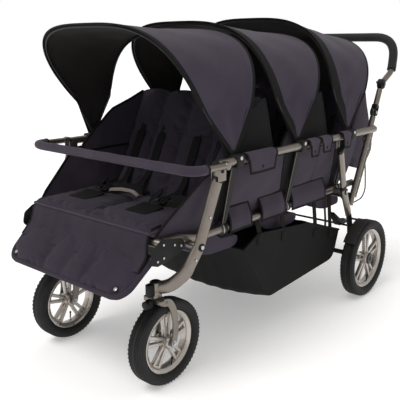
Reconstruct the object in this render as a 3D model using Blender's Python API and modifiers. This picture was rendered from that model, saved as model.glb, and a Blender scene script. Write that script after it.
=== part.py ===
"""Six-seat stroller: three rows of two seats on a folding tube frame, with swivelling front wheels.

Lengths are metres. The front faces -Y, +X is the stroller's own left and +Z is up. While it is built,
y runs back from the front caster axis; the last step moves the whole stroller onto its origin.
"""

import math

import bmesh
import bpy
import numpy as np
from mathutils import Matrix, Vector

# Clearances
FIT = 0.0003
PLAY = 0.0006

# Side frames
ROWS = 3
ROW_PITCH = 0.34
RAIL_R = 0.0125
UPPER_X, UPPER_Z = 0.322, 0.637
UPPER_FRONT, UPPER_REAR = 0.14, 1.108
LOWER_X, LOWER_Z = 0.27, 0.427
KNEE_TUBE = (-0.03, 0.446)
CLAMP_Y = 0.235
CLAMP_WIDTH = 0.035
STRUT_THICK = 0.007
RING_R = 0.018
PUSH_X, PUSH_R = 0.295, 0.011
PUSH_LINE = ((1.0, 0.348), (1.012, 0.382), (1.104, 0.571), (1.155, 0.696))
CROSS_TUBE = (1.012, 0.382)

# Legs
LEG_WIDTH, LEG_THICK = 0.038, 0.02
FRONT_PIVOT = (0.083, 0.418)
FRONT_PIVOT_X = 0.312
REAR_PIVOT = (0.892, 0.427)
REAR_PIVOT_X = 0.32
REAR_LEG_END = (0.311, 0.957, 0.328)
POST_X, POST_R = 0.3085, 0.011
PIVOT_BOSS_R = 0.01
PIVOT_PAD = 0.0115
CASTER_X = 0.225
SOCKET_R = 0.017
SOCKET_LOW, SOCKET_TOP = 0.2743, 0.32
STEM_R = 0.006
CROWN_R = 0.016

# Wheels
FRONT_R, FRONT_RIM = 0.128, 0.0945
REAR_R, REAR_RIM = 0.15, 0.115
TYRE_WIDTH = 0.054
TRAIL = 0.034
REAR_AXLE_Y = 1.003
REAR_X = 0.365
WHEEL_SIDES = 24
SPOKES = 5

# Seats
BACK_PIVOT = (0.27, 0.43)
BACK_LEAN = math.radians(26)
BACK_LENGTH = 0.41
BACK_THICK = 0.04
BACK_HALVES = (0.243, 0.258)
BACK_PIN_HALF = 0.2568
BAG_HALF = 0.25
PAN_GAP = 0.002
PAN_HALF = LOWER_X - RAIL_R - PAN_GAP
WALL_LOW, WALL_TOP = 0.444, 0.62
WALL_THICK = 0.008
WALL_X = 0.2545
WALL_SLOPE = 0.2585

WALL_FRONTS = (
    [(-0.035, 0.462), (0.0, 0.5), (0.12, 0.6), (0.165, WALL_TOP)],
    [(0.047, WALL_LOW), (0.047, 0.513), (0.137, 0.513), (0.137, WALL_TOP)],
)
WALL_REARS = (
    [(0.472, WALL_TOP), (0.472, 0.518), (0.381, 0.518), (0.381, WALL_LOW)],
    [(0.335, WALL_TOP), (0.335, WALL_LOW)],
)
WING = (
    (0.275, 0.6), (0.3, 0.7), (0.335, 0.75), (0.375, 0.768),
    (0.44, 0.797), (0.452, 0.79), (0.465, 0.62), (0.465, 0.6),
)
WING_X, WING_SLOPE, WING_THICK = 0.2935, -0.145, 0.006
FLAPS = ((0.28, 0.465, 0.592), (0.28, 0.44, 0.592), (0.165, 0.205, 0.628))

# Bumper and footrest
BUMPER_PIVOT = (0.155, 0.637)
BUMPER_X = 0.3465
BUMPER_R, BUMPER_PAD_R = 0.0095, 0.0135
BUMPER_PAD_END = 0.075
FOOT_PIVOT = (-0.053, 0.406)
FOOT_END = (-0.155, 0.32)

# Handle
JAW = (1.155, 0.696)
TILT = (1.2, 0.802)
GRIP_R = 0.0175
HANDLE_TOP_X = 0.279

# Canopies: front and rear arches as width, height, squareness, spread, forward angle and curl
CANOPY_Z = 0.645
BOW_R = 0.0035
BOW_EYES = (0.2938, 0.3018)
EYE_HALF, EYE_R = 0.0032, 0.008
BOW_GAP = 0.0012
HINGE_PIN_R = 0.003
CANOPY_FOOT = 0.312
CLOTH = 0.003
ARCH_Y, ARCH_Z, ARCH_PITCH = 0.282, 0.6385, 0.3485
FRONT_ARCH = dict(width=0.2292, height=0.4817, square=3.2255, spread=0.511, curl=0.1689)
REAR_ARCH = dict(width=0.2871, height=0.3685, square=3.2368, spread=0.2285, curl=-0.13)
FRONT_ANGLES = (0.6946, 0.6454, 0.5699)
REAR_ANGLES = (-0.1891, -0.2734, -0.3229)

# Brake
BRAKE_ROD = (0.985, 0.27)
PIN_Y, PIN_Z = 0.9957, 0.21
PIN_R = 0.005

MATERIALS = {
    "frame_tube": ((0.46, 0.42, 0.37), 0.85, 0.38),
    "black_plastic": ((0.012, 0.012, 0.013), 0.0, 0.45),
    "navy_fabric": ((0.055, 0.045, 0.085), 0.0, 0.9),
    "black_fabric": ((0.008, 0.008, 0.009), 0.0, 0.95),
    "foam": ((0.01, 0.01, 0.011), 0.0, 0.85),
    "tyre": ((0.013, 0.013, 0.013), 0.0, 0.8),
    "rim": ((0.5, 0.46, 0.42), 0.8, 0.25),
}


def clear_scene():
    for obj in list(bpy.data.objects):
        bpy.data.objects.remove(obj, do_unlink=True)


def as_mesh(bm):
    """The bmesh as a mesh, with its faces turned outwards."""
    bmesh.ops.recalc_face_normals(bm, faces=bm.faces)
    mesh = bpy.data.meshes.new("solid")
    bm.to_mesh(mesh)
    bm.free()
    return mesh


def welded(mesh, within=1e-6):
    bm = bmesh.new()
    bm.from_mesh(mesh)
    bmesh.ops.remove_doubles(bm, verts=bm.verts, dist=within)
    return as_mesh(bm)


def evaluated(obj):
    """The object's shape with its modifiers, as a mesh of its own. The object goes."""
    bpy.context.view_layer.update()
    graph = bpy.context.evaluated_depsgraph_get()
    mesh = bpy.data.meshes.new_from_object(obj.evaluated_get(graph))
    bpy.data.objects.remove(obj, do_unlink=True)
    return mesh


def placed(data):
    obj = bpy.data.objects.new("work", data)
    bpy.context.scene.collection.objects.link(obj)
    return obj


def combine(mesh, others, operation):
    for other in others:
        base, tool = placed(mesh), placed(other)
        boolean = base.modifiers.new(operation, "BOOLEAN")
        boolean.operation = operation
        boolean.solver = "EXACT"
        boolean.object = tool
        mesh = evaluated(base)
        bpy.data.objects.remove(tool, do_unlink=True)
    return mesh


def fuse(mesh, *others):
    return combine(mesh, others, "UNION")


def cut(mesh, *others):
    return combine(mesh, others, "DIFFERENCE")


def box(centre, size, lean=0.0, bevel=0.0):
    """A block, tipped back about X by lean, its edges rounded by bevel."""
    bm = bmesh.new()
    turn = Matrix.Translation(centre) @ Matrix.Rotation(lean, 4, "X") @ Matrix.Diagonal((*size, 1))
    bmesh.ops.create_cube(bm, size=1, matrix=turn)
    if bevel:
        bmesh.ops.bevel(bm, geom=bm.edges[:], offset=bevel, segments=1, affect="EDGES")
    return as_mesh(bm)


def cylinder(start, end, radius, sides=12):
    start, end = Vector(start), Vector(end)
    axis = end - start
    turn = Matrix.Translation((start + end) / 2) @ axis.to_track_quat("Z", "Y").to_matrix().to_4x4()
    bm = bmesh.new()
    bmesh.ops.create_cone(
        bm, cap_ends=True, segments=sides, radius1=radius, radius2=radius, depth=axis.length, matrix=turn
    )
    return as_mesh(bm)


def across(y, z, x0, x1, radius, sides=12):
    """A cylinder along X."""
    return cylinder((x0, y, z), (x1, y, z), radius, sides)


def prism(outline, x0, x1, bevel=0.0):
    """A flat outline of (y, z) points, thick from x0 to x1."""
    bm = bmesh.new()
    face = bm.faces.new([bm.verts.new((x0, y, z)) for y, z in outline])
    made = bmesh.ops.extrude_face_region(bm, geom=[face])
    moved = [v for v in made["geom"] if isinstance(v, bmesh.types.BMVert)]
    bmesh.ops.translate(bm, verts=moved, vec=(x1 - x0, 0, 0))
    if bevel:
        bmesh.ops.bevel(bm, geom=bm.edges[:], offset=bevel, segments=1, affect="EDGES")
    return as_mesh(bm)


def turned(profile, centre, sides):
    """A ring profile of (x, radius) points turned about the X line through centre."""
    bm = bmesh.new()
    half_step = math.pi / sides
    verts = []
    for x, r in profile:
        out, up = r * math.sin(half_step), r * math.cos(half_step)
        verts.append(bm.verts.new((centre[0] + x, centre[1] + out, centre[2] + up)))
    edges = [bm.edges.new((a, b)) for a, b in zip(verts, verts[1:] + verts[:1])]
    bmesh.ops.spin(
        bm, geom=verts + edges, cent=centre, axis=(1, 0, 0), angle=math.tau, steps=sides, use_merge=True
    )
    bmesh.ops.remove_doubles(bm, verts=bm.verts, dist=1e-6)
    return as_mesh(bm)


def rounded(points, radius, steps=4, share=0.49):
    """The path with each inner corner rounded to about this radius, over at most a share of its sides."""
    points = [Vector(p) for p in points]
    path = [points[0]]
    for before, corner, after in zip(points, points[1:], points[2:]):
        to_before, to_after = (before - corner), (after - corner)
        half = to_before.angle(to_after) / 2
        reach = min(radius / math.tan(half), to_before.length * share, to_after.length * share)
        start = corner + to_before.normalized() * reach
        end = corner + to_after.normalized() * reach
        for i in range(steps + 1):
            t = i / steps
            path.append(start * (1 - t) ** 2 + corner * 2 * t * (1 - t) + end * t**2)
    return path + [points[-1]]


def run(points, radius, sides=8):
    """A round bar or tube along the path, closed at both ends."""
    curve = bpy.data.curves.new("run", "CURVE")
    curve.dimensions = "3D"
    curve.bevel_depth = radius
    curve.bevel_resolution = (sides - 4) // 2
    curve.use_fill_caps = True
    return along(curve, points)


def flat_run(points, width, thick, sides=10):
    """An oval tube along the path, wide along Y and thin along X."""
    profile = bpy.data.curves.new("oval", "CURVE")
    spline = profile.splines.new("POLY")
    spline.points.add(sides - 1)
    spline.use_cyclic_u = True
    for i, point in enumerate(spline.points):
        angle = math.tau * i / sides
        point.co = (thick / 2 * math.cos(angle), width / 2 * math.sin(angle), 0, 1)
    section = placed(profile)
    curve = bpy.data.curves.new("run", "CURVE")
    curve.dimensions = "3D"
    curve.twist_mode = "Z_UP"
    curve.bevel_mode = "OBJECT"
    curve.bevel_object = section
    curve.use_fill_caps = True
    mesh = along(curve, points)
    bpy.data.objects.remove(section, do_unlink=True)
    return mesh


def along(curve, points):
    spline = curve.splines.new("POLY")
    spline.points.add(len(points) - 1)
    for point, co in zip(spline.points, points):
        point.co = (*co, 1)
    return welded(evaluated(placed(curve)))


def shell(outer, inner):
    """A closed solid between two grids of points of the same size, rows by columns."""
    outer, inner = np.asarray(outer), np.asarray(inner)
    rows, columns = outer.shape[:2]
    bm = bmesh.new()
    sheets = [[[bm.verts.new(p) for p in row] for row in sheet] for sheet in (outer, inner)]
    for sheet in sheets:
        for i in range(rows - 1):
            for j in range(columns - 1):
                bm.faces.new((sheet[i][j], sheet[i + 1][j], sheet[i + 1][j + 1], sheet[i][j + 1]))
    a, b = sheets
    rim = [(i, 0) for i in range(rows)] + [(rows - 1, j) for j in range(1, columns)]
    rim += [(i, columns - 1) for i in range(rows - 2, -1, -1)] + [(0, j) for j in range(columns - 2, 0, -1)]
    for (i, j), (k, m) in zip(rim, rim[1:] + rim[:1]):
        bm.faces.new((a[i][j], a[k][m], b[k][m], b[i][j]))
    return as_mesh(bm)


def node(name, mesh, material, pivot=(0, 0, 0)):
    """One named piece, its origin on its joint."""
    mesh.transform(Matrix.Translation(-Vector(pivot)))
    mesh.name = name
    mesh.materials.clear()
    color, metallic, roughness = MATERIALS[material]
    look = bpy.data.materials.new(f"{name}_{material}")
    look.use_nodes = True
    shader = look.node_tree.nodes["Principled BSDF"]
    shader.inputs["Base Color"].default_value = (*color, 1)
    shader.inputs["Metallic"].default_value = metallic
    shader.inputs["Roughness"].default_value = roughness
    mesh.materials.append(look)
    obj = bpy.data.objects.new(name, mesh)
    obj.location = pivot
    obj.parent = ROOT
    PARTS.objects.link(obj)
    return obj


def sided(side, points):
    return [(side * x, y, z) for x, y, z in points]


# Side frames

def upper_rail(side):
    rail = run(sided(side, [(UPPER_X, UPPER_FRONT, UPPER_Z), (UPPER_X, UPPER_REAR, UPPER_Z)]), RAIL_R)
    pieces = []
    for offset in (-1, 1):
        x = UPPER_X + offset * (LEG_THICK / 2 + PLAY + 0.0015)
        pieces.append(box((side * x, 0.153, 0.6145), (0.003, 0.034, 0.045)))
    y, z = BUMPER_PIVOT
    pieces.append(across(y, z, side * UPPER_X, side * (BUMPER_X - BUMPER_R - FIT), 0.008))
    y = push_y(UPPER_Z)
    x = PUSH_X + PUSH_R + FIT + 0.0025
    pieces.append(box((side * x, (UPPER_REAR + y - 0.01) / 2, UPPER_Z), (0.005, y - UPPER_REAR + 0.03, 0.02)))
    # stop beside the top of the rear leg
    pieces.append(box((side * 0.3205, 0.822, 0.6105), (0.006, 0.022, 0.03)))
    return fuse(rail, *pieces)


def lower_rail(side):
    y0 = KNEE_TUBE[0] + RAIL_R + FIT
    path = [(LOWER_X, y0, KNEE_TUBE[1]), (LOWER_X, 0.055, KNEE_TUBE[1] - 0.003),
            (LOWER_X, 0.12, LOWER_Z), (LOWER_X, 1.05, LOWER_Z)]
    rail = run(sided(side, rounded(path, 0.1, 2)), RAIL_R)
    front = FRONT_PIVOT_X - PIVOT_PAD - FIT
    rear = REAR_PIVOT_X - PIVOT_PAD - FIT
    return fuse(
        rail,
        across(*FRONT_PIVOT, side * LOWER_X, side * front, PIVOT_BOSS_R),
        across(*REAR_PIVOT, side * LOWER_X, side * rear, PIVOT_BOSS_R),
        across(push_y(LOWER_Z), LOWER_Z, side * LOWER_X, side * (PUSH_X - PUSH_R - FIT), 0.009),
    )


def push_y(z):
    """Where the push bar's centre line stands at this height."""
    heights = [p[1] for p in PUSH_LINE]
    return float(np.interp(z, heights, [p[0] for p in PUSH_LINE]))


def knee_cross_tube():
    y, z = KNEE_TUBE
    inner, outer = LOWER_X + RAIL_R + PLAY, LOWER_X + RAIL_R + PLAY + 0.004
    tube = across(y, z, -outer, outer, RAIL_R)
    outline = [(-0.078, 0.405), (-0.06, 0.39), (0.0, 0.4), (0.045, 0.412), (0.052, 0.43),
               (0.045, 0.448), (-0.035, 0.461), (-0.07, 0.44)]
    plates = [prism(outline, side * inner, side * outer) for side in (-1, 1)]
    holes = [across(*FOOT_PIVOT, side * (inner - 0.01), side * (outer + 0.01), 0.0063) for side in (-1, 1)]
    return cut(fuse(tube, *plates), *holes)


def push_bar(side):
    path = [(PUSH_X, y, z) for y, z in PUSH_LINE]
    lower = Vector(path[-2])
    top = Vector(path[-1])
    axis = (top - lower).normalized()
    path[-1] = top - axis * 0.0185
    bar = run(sided(side, rounded(path, 0.08, 2)), PUSH_R)
    eye = across(*JAW, side * (PUSH_X - 0.005), side * (PUSH_X + 0.005), 0.014)
    middle = Vector((side * PUSH_X, *JAW)) - axis * 0.013
    tongue = box(middle, (0.01, 0.02, 0.024), lean=-math.atan2(axis.y, axis.z))
    rod = run(sided(side, [(PUSH_X, 1.04, 0.372), (PUSH_X, 1.062, 0.413), (PUSH_X, 1.138, 0.571),
                           (PUSH_X, 1.157, 0.625), (PUSH_X, 1.13, 0.637)]), 0.004, 8)
    low_foot = cylinder((side * PUSH_X, 1.02, 0.385), (side * PUSH_X, 1.046, 0.374), 0.004, 8)
    return fuse(bar, tongue, eye, rod, low_foot)


def side_strut(side, row):
    y = CLAMP_Y + row * ROW_PITCH
    clamp = box((side * UPPER_X, y, 0.6365), (0.031, CLAMP_WIDTH, 0.037), bevel=0.004)
    top_half, low_half = CLAMP_WIDTH / 2, 0.0085
    x_top, z_top = 0.3135, 0.622
    x_low, z_low = 0.2745, 0.44
    corners = []
    for x, z, half in ((x_top, z_top, top_half), (x_low, z_low, low_half)):
        for dx in (-1, 1):
            corners += [(side * (x + dx * STRUT_THICK / 2), y + dy * half, z) for dy in (-1, 1)]
    bm = bmesh.new()
    verts = [bm.verts.new(c) for c in corners]
    bmesh.ops.convex_hull(bm, input=verts)
    plate = as_mesh(bm)
    ring = cylinder((side * LOWER_X, y - low_half, LOWER_Z), (side * LOWER_X, y + low_half, LOWER_Z),
                    RING_R, 16)
    rails = [
        cylinder((side * UPPER_X, y - 0.05, UPPER_Z), (side * UPPER_X, y + 0.05, UPPER_Z), RAIL_R + FIT, 16),
        cylinder((side * LOWER_X, y - 0.05, LOWER_Z), (side * LOWER_X, y + 0.05, LOWER_Z), RAIL_R + FIT, 16),
    ]
    pin = across(y, CANOPY_Z, side * UPPER_X, side * (BOW_EYES[0] - EYE_HALF), HINGE_PIN_R, 10)
    return cut(fuse(clamp, plate, ring, pin), *rails)


# Seats

def pillow(half_low, half_high, length, thick, edge, crown, channels, rows=4, columns=11):
    """Front and back grids of a cushion, standing on its hinge line: x across, y thickness, z up."""
    front, back = [], []
    for i in range(rows + 1):
        v = i / rows
        half = half_low + (half_high - half_low) * v
        front_row, back_row = [], []
        for j in range(columns):
            u = 2 * j / (columns - 1) - 1
            side_swell = 1 - abs(u) ** 5
            end_swell = 1 - abs(2 * v - 1) ** 6
            groove = 0.5 - 0.5 * math.cos(math.pi * channels * (u + 1))
            swell = side_swell * end_swell
            depth = edge / 2 + (thick / 2 - edge / 2) * swell + crown * swell * groove
            top = length * v
            front_row.append((half * u, -depth, top))
            back_row.append((half * u, edge / 2 + (thick / 2 - edge / 2) * swell, top))
        front.append(front_row)
        back.append(back_row)
    return np.array(front), np.array(back)


def tipped(grid, pivot, lean):
    """The grid leaned back about X and moved to its hinge."""
    turn = Matrix.Translation((0, *pivot)) @ Matrix.Rotation(-lean, 4, "X")
    return [[turn @ Vector(p) for p in row] for row in grid]


def backrest(row):
    pivot = (BACK_PIVOT[0] + row * ROW_PITCH, BACK_PIVOT[1])
    front, back = pillow(*BACK_HALVES, BACK_LENGTH, BACK_THICK, 0.014, 0.006, 4, columns=13)
    for grid in (front, back):
        grid[:, :, 2] -= 0.008
    mesh = shell(tipped(front, pivot, BACK_LEAN), tipped(back, pivot, BACK_LEAN))
    mesh = fuse(mesh, across(*pivot, -BACK_PIN_HALF, BACK_PIN_HALF, 0.006))
    if row == ROWS - 1:
        outline = [(1.137, 0.8), (1.172, 0.775), (1.222, 0.676), (1.268, 0.555), (1.262, 0.52),
                   (1.233, 0.493), (1.148, 0.458), (1.04, 0.55)]
        mesh = fuse(mesh, prism(outline, -BAG_HALF, BAG_HALF, bevel=0.012))
    return mesh


def wall_x(z):
    return WALL_X + (z - WALL_LOW) * WALL_SLOPE


def wing_x(z):
    return WING_X + (z - WING[0][1]) * WING_SLOPE


def panel(side, outline, lean_x, thick):
    """A thin sheet, its outline in (y, z) and its outer face at x = lean_x(z)."""
    bm = bmesh.new()
    outer = [bm.verts.new((side * lean_x(z), y, z)) for y, z in outline]
    inner = [bm.verts.new((side * (lean_x(z) - thick), y, z)) for y, z in outline]
    bm.faces.new(outer)
    bm.faces.new(inner)
    for i, vert in enumerate(outer):
        j = (i + 1) % len(outer)
        bm.faces.new((vert, outer[j], inner[j], inner[i]))
    return as_mesh(bm)


def flap(side, y0, y1, low):
    """The panel's top edge, folded out over the upper rail."""
    x_wall = wall_x(WALL_TOP) - WALL_THICK / 2
    seat_z = UPPER_Z + RAIL_R + FIT
    outer = [(x_wall - 0.002, 0.61), (0.301, 0.63), (0.3035, 0.648), (0.312, seat_z + 0.004),
             (0.332, seat_z + 0.004), (0.3405, 0.648), (0.3415, 0.63), (0.3415, low)]
    inner = [(x_wall + 0.002, 0.6095), (0.305, 0.629), (0.3075, 0.645), (0.3155, seat_z),
             (0.3285, seat_z), (0.3365, 0.645), (0.3375, 0.63), (0.3375, low)]
    grids = [[[(side * x, y, z) for x, z in line] for y in (y0, y1)] for line in (outer, inner)]
    return shell(*grids)


def seat(row):
    y = row * ROW_PITCH
    start = -0.0512 if row == 0 else 0.045
    end = 0.228
    rows, columns = 4, 11
    top, bottom = [], []
    for i in range(rows + 1):
        v = i / rows
        py = start + (end - start) * v
        swell_y = 1 - abs(2 * v - 1) ** 6
        top_row, bottom_row = [], []
        for j in range(columns):
            u = 2 * j / (columns - 1) - 1
            lift = 0.014 * (1 - abs(u) ** 6) * swell_y
            middle = 0.008 * math.exp(-((u / 0.1) ** 2)) * swell_y
            top_row.append((PAN_HALF * u, y + py, 0.472 + lift - middle))
            bottom_row.append((PAN_HALF * u, y + py, KNEE_TUBE[1] + RAIL_R + 0.001))
        top.append(top_row)
        bottom.append(bottom_row)
    cushion = shell(top, bottom)
    if row == 0:
        lip = [(-0.0555, 0.431), (-0.048, 0.43), (-0.0466, 0.4655), (-0.0543, 0.4671)]
        cushion = fuse(cushion, prism(lip, -PAN_HALF + 0.004, PAN_HALF - 0.004))
    belly = [(0.03, 0.466), (0.07, 0.405), (0.15, 0.362), (0.2, 0.351), (0.3, 0.347), (0.332, 0.354),
             (0.335, 0.38), (0.25, 0.388), (0.228, 0.405), (0.222, 0.466)]
    if row > 0:
        belly[0] = (0.06, 0.466)
        belly[1] = (0.085, 0.405)
    if row == ROWS - 1:
        belly = [(min(py, 0.3), pz) for py, pz in belly if py != 0.3]
    belly_solid = prism([(y + py, pz) for py, pz in belly], -PAN_HALF + 0.002, PAN_HALF - 0.002, bevel=0.005)
    outline = WALL_FRONTS[0 if row == 0 else 1] + WALL_REARS[1 if row == ROWS - 1 else 0]
    outline = [(y + py, pz) for py, pz in outline]
    walls = [panel(side, outline, wall_x, WALL_THICK) for side in (-1, 1)]
    if row < ROWS - 1:
        wing = [(y + py, pz) for py, pz in WING]
        walls += [panel(side, wing, wing_x, WING_THICK) for side in (-1, 1)]
    start, end, low = FLAPS[row]
    flaps = [flap(side, y + start, y + end, low) for side in (-1, 1)]
    return fuse(cushion, belly_solid, *walls, *flaps)


def footrest():
    length = math.dist(FOOT_PIVOT, FOOT_END)
    slope = math.atan2(FOOT_PIVOT[1] - FOOT_END[1], FOOT_PIVOT[0] - FOOT_END[0])
    front, back = pillow(0.272, 0.254, length, 0.02, 0.01, 0.003, 3, rows=3)
    for grid in (front, back):
        grid[:, :, 2] = grid[:, :, 2] * 1.1 - 0.014
    turn = math.pi / 2 + slope
    mesh = shell(tipped(front, FOOT_PIVOT, -turn), tipped(back, FOOT_PIVOT, -turn))
    end = LOWER_X + RAIL_R + PLAY + 0.0035
    return fuse(mesh, across(*FOOT_PIVOT, -end, end, 0.006))


def storage_basket():
    half_top, half_low = 0.285, 0.28
    line = [(0.324, 0.338, half_top), (0.47, 0.132, half_low), (0.912, 0.153, half_low),
            (0.939, 0.262, half_top)]
    sags = (0, 0.032, 0.012, 0)
    bm = bmesh.new()
    columns = []
    for k in range(7):
        u = 1 - k / 3
        dip = 1 - u * u
        columns.append([bm.verts.new((half * u, y, z - sag * dip)) for (y, z, half), sag in zip(line, sags)])
    for near, far in zip(columns, columns[1:]):
        for i in range(3):
            bm.faces.new((near[i], near[i + 1], far[i + 1], far[i]))
    for verts, side in ((columns[0], 1), (columns[-1], -1)):
        rim = [bm.verts.new((side * half_top, y, z)) for y, z in ((0.4, 0.372), (0.7, 0.34))]
        bm.faces.new((verts[0], verts[1], verts[2], verts[3], rim[1], rim[0]))
    bmesh.ops.recalc_face_normals(bm, faces=bm.faces)
    mesh = bpy.data.meshes.new("sheet")
    bm.to_mesh(mesh)
    bm.free()
    obj = placed(mesh)
    solidify = obj.modifiers.new("thickness", "SOLIDIFY")
    solidify.thickness = 0.004
    solidify.offset = -1
    solidify.use_even_offset = True
    tub = welded(evaluated(obj))
    straps = []
    strap_top = LOWER_Z - RAIL_R - FIT
    for side in (-1, 1):
        for y, z in ((0.41, 0.35), (0.55, 0.33), (0.76, 0.29), (0.87, 0.262)):
            outline = [(half_top - 0.0035, z), (half_top - 0.0005, z),
                       (LOWER_X + 0.0015, strap_top), (LOWER_X - 0.0015, strap_top)]
            straps.append(strap_between([(side * x, zz) for x, zz in outline], y - 0.012, y + 0.012))
    return fuse(tub, *straps)


def strap_between(section, y0, y1):
    """A flat strap with this (x, z) section."""
    bm = bmesh.new()
    near = [bm.verts.new((x, y0, z)) for x, z in section]
    far = [bm.verts.new((x, y1, z)) for x, z in section]
    bm.faces.new(near)
    bm.faces.new(far)
    for i, vert in enumerate(near):
        j = (i + 1) % len(near)
        bm.faces.new((vert, near[j], far[j], far[i]))
    return as_mesh(bm)


# Canopies

def arch(row, shape, angle, turn):
    """The arch point at this turn, from one side (0) over the top to the other (pi)."""
    w, h, n = shape["width"], shape["height"], shape["square"]
    r = h * abs(math.sin(turn)) ** (2 / n)
    x = w * math.copysign(abs(math.cos(turn)) ** (2 / n), math.cos(turn)) * (1 + shape["spread"] * r / h)
    a = angle + shape["curl"] * (1 - r / h)
    return Vector((x, ARCH_Y + row * ARCH_PITCH - r * math.sin(a), ARCH_Z + r * math.cos(a)))


def canopy_grid(row, columns=13, depth=4):
    """The cloth's outer face: columns from the left rail over the top to the right, depth front to rear."""
    low = 0.22
    pivot_y = CLAMP_Y + row * ROW_PITCH
    foot = []
    for j in range(depth + 1):
        foot.append(Vector((CANOPY_FOOT, pivot_y + 0.016 * (2 * j / depth - 1), CANOPY_Z + 0.027)))
    grid = [foot]
    for i in range(columns):
        turn = low + (math.pi - 2 * low) * i / (columns - 1)
        front = arch(row, FRONT_ARCH, FRONT_ANGLES[row], turn)
        rear = arch(row, REAR_ARCH, REAR_ANGLES[row], turn)
        grid.append([front.lerp(rear, j / depth) for j in range(depth + 1)])
    grid.append([Vector((-p.x, p.y, p.z)) for p in foot])
    return np.array(grid)


def inward(grid):
    """Unit normals of the grid, towards the inside of the canopy."""
    du = np.gradient(grid, axis=0)
    dv = np.gradient(grid, axis=1)
    normal = np.cross(du, dv)
    normal /= np.linalg.norm(normal, axis=2, keepdims=True)
    middle = grid.mean(axis=(0, 1)) - np.array((0, 0, 0.15))
    if (normal * (middle - grid)).sum() < 0:
        normal = -normal
    return normal


def canopy_fabric(row):
    grid = canopy_grid(row)
    return shell(grid, grid + inward(grid) * CLOTH)


def bow(row, at, eye_x):
    """A round bow just inside the cloth's edge, its ends on the clamp's pivot."""
    grid = canopy_grid(row)
    normal = inward(grid)
    edge, next_in = (0, 1) if at == "front" else (-1, -2)
    into = grid[:, next_in] - grid[:, edge]
    into /= np.linalg.norm(into, axis=1, keepdims=True)
    path = grid[:, edge] + normal[:, edge] * (CLOTH + BOW_R + BOW_GAP) + into * 0.008
    pivot_y = CLAMP_Y + row * ROW_PITCH
    path = [Vector(p) for p in path[1:-1]]
    for side, first in ((1, True), (-1, False)):
        end = Vector((side * eye_x, pivot_y, CANOPY_Z))
        near = path[0] if first else path[-1]
        path = [end] + path if first else path + [end]
    body = run(path, BOW_R, 6)
    eyes = []
    bores = []
    for side in (-1, 1):
        eye = (side * (eye_x - EYE_HALF), side * (eye_x + EYE_HALF))
        eyes.append(across(pivot_y, CANOPY_Z, *eye, EYE_R, 10))
        bores.append(across(pivot_y, CANOPY_Z, side * (eye_x - 0.01), side * (eye_x + 0.01),
                            HINGE_PIN_R + FIT, 10))
    return cut(fuse(body, *eyes), *bores)


# Handle

def handle_arm(side):
    jaw_in, jaw_out = PUSH_X - 0.005 - PLAY, PUSH_X + 0.005 + PLAY
    cheeks = [
        across(*JAW, side * (jaw_in - 0.005), side * jaw_in, 0.016),
        across(*JAW, side * jaw_out, side * (jaw_out + 0.005), 0.016),
    ]
    start, end = Vector((side * PUSH_X, *JAW)), Vector((side * PUSH_X, *TILT))
    along_arm = (end - start).normalized()
    block = box(start + along_arm * 0.023, (0.0215, 0.026, 0.014), lean=-math.atan2(along_arm.y, along_arm.z))
    webs = [
        box(start + along_arm * 0.009 + Vector((side * dx, 0, 0)), (0.005, 0.026, 0.026),
            lean=-math.atan2(along_arm.y, along_arm.z))
        for dx in (jaw_in - 0.0025 - PUSH_X, jaw_out + 0.0025 - PUSH_X)
    ]
    tube = run([start + along_arm * 0.024, end - along_arm * 0.0215], PUSH_R)
    hub = across(*TILT, side * (PUSH_X - 0.0095), side * (PUSH_X - PLAY), 0.019, 18)
    inset = Vector((side * 0.005, 0, 0))
    neck = cylinder(end - along_arm * 0.03 - inset, end - inset, 0.0044)
    return fuse(block, *webs, *cheeks, tube, neck, hub)


def handle_curve(end_trim):
    low = Vector((PUSH_X, *TILT))
    knee = Vector((PUSH_X, 1.288, 0.848))
    top = Vector((HANDLE_TOP_X, 1.342, 0.982))
    start = low + (knee - low).normalized() * end_trim
    bend = knee.lerp(top, 0.3)
    side_bend = rounded([start, knee, bend], 0.045, 2, 0.9)
    corner = rounded([bend, top, Vector((0, top.y, top.z))], 0.098, 5, 0.97)
    half = side_bend[:-1] + corner[:-1]
    return half + [Vector((-p.x, p.y, p.z)) for p in reversed(half)]


def handle_tube():
    tube = run(handle_curve(0.012), PUSH_R)
    hubs = [across(*TILT, side * (PUSH_X - 0.001), side * (PUSH_X + 0.0115), 0.019, 18) for side in (-1, 1)]
    pockets = [
        across(*TILT, side * (PUSH_X + 0.0025), side * (PUSH_X + 0.02), 0.0095 + FIT, 16) for side in (-1, 1)
    ]
    inner = [across(*TILT, side * (PUSH_X - 0.014), side * PUSH_X, 0.0215, 16) for side in (-1, 1)]
    return cut(fuse(tube, *hubs), *pockets, *inner)


def handle_grip():
    path = handle_curve(0.012)
    drop = 3
    sleeve = run(path[drop:-drop], GRIP_R)
    return cut(sleeve, run(path[drop - 1:len(path) - drop + 1], PUSH_R + FIT * 2))


def tilt_button(side):
    return across(*TILT, side * (PUSH_X + 0.0075), side * (PUSH_X + 0.0165), 0.0095, 16)


# Legs and wheels

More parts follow.
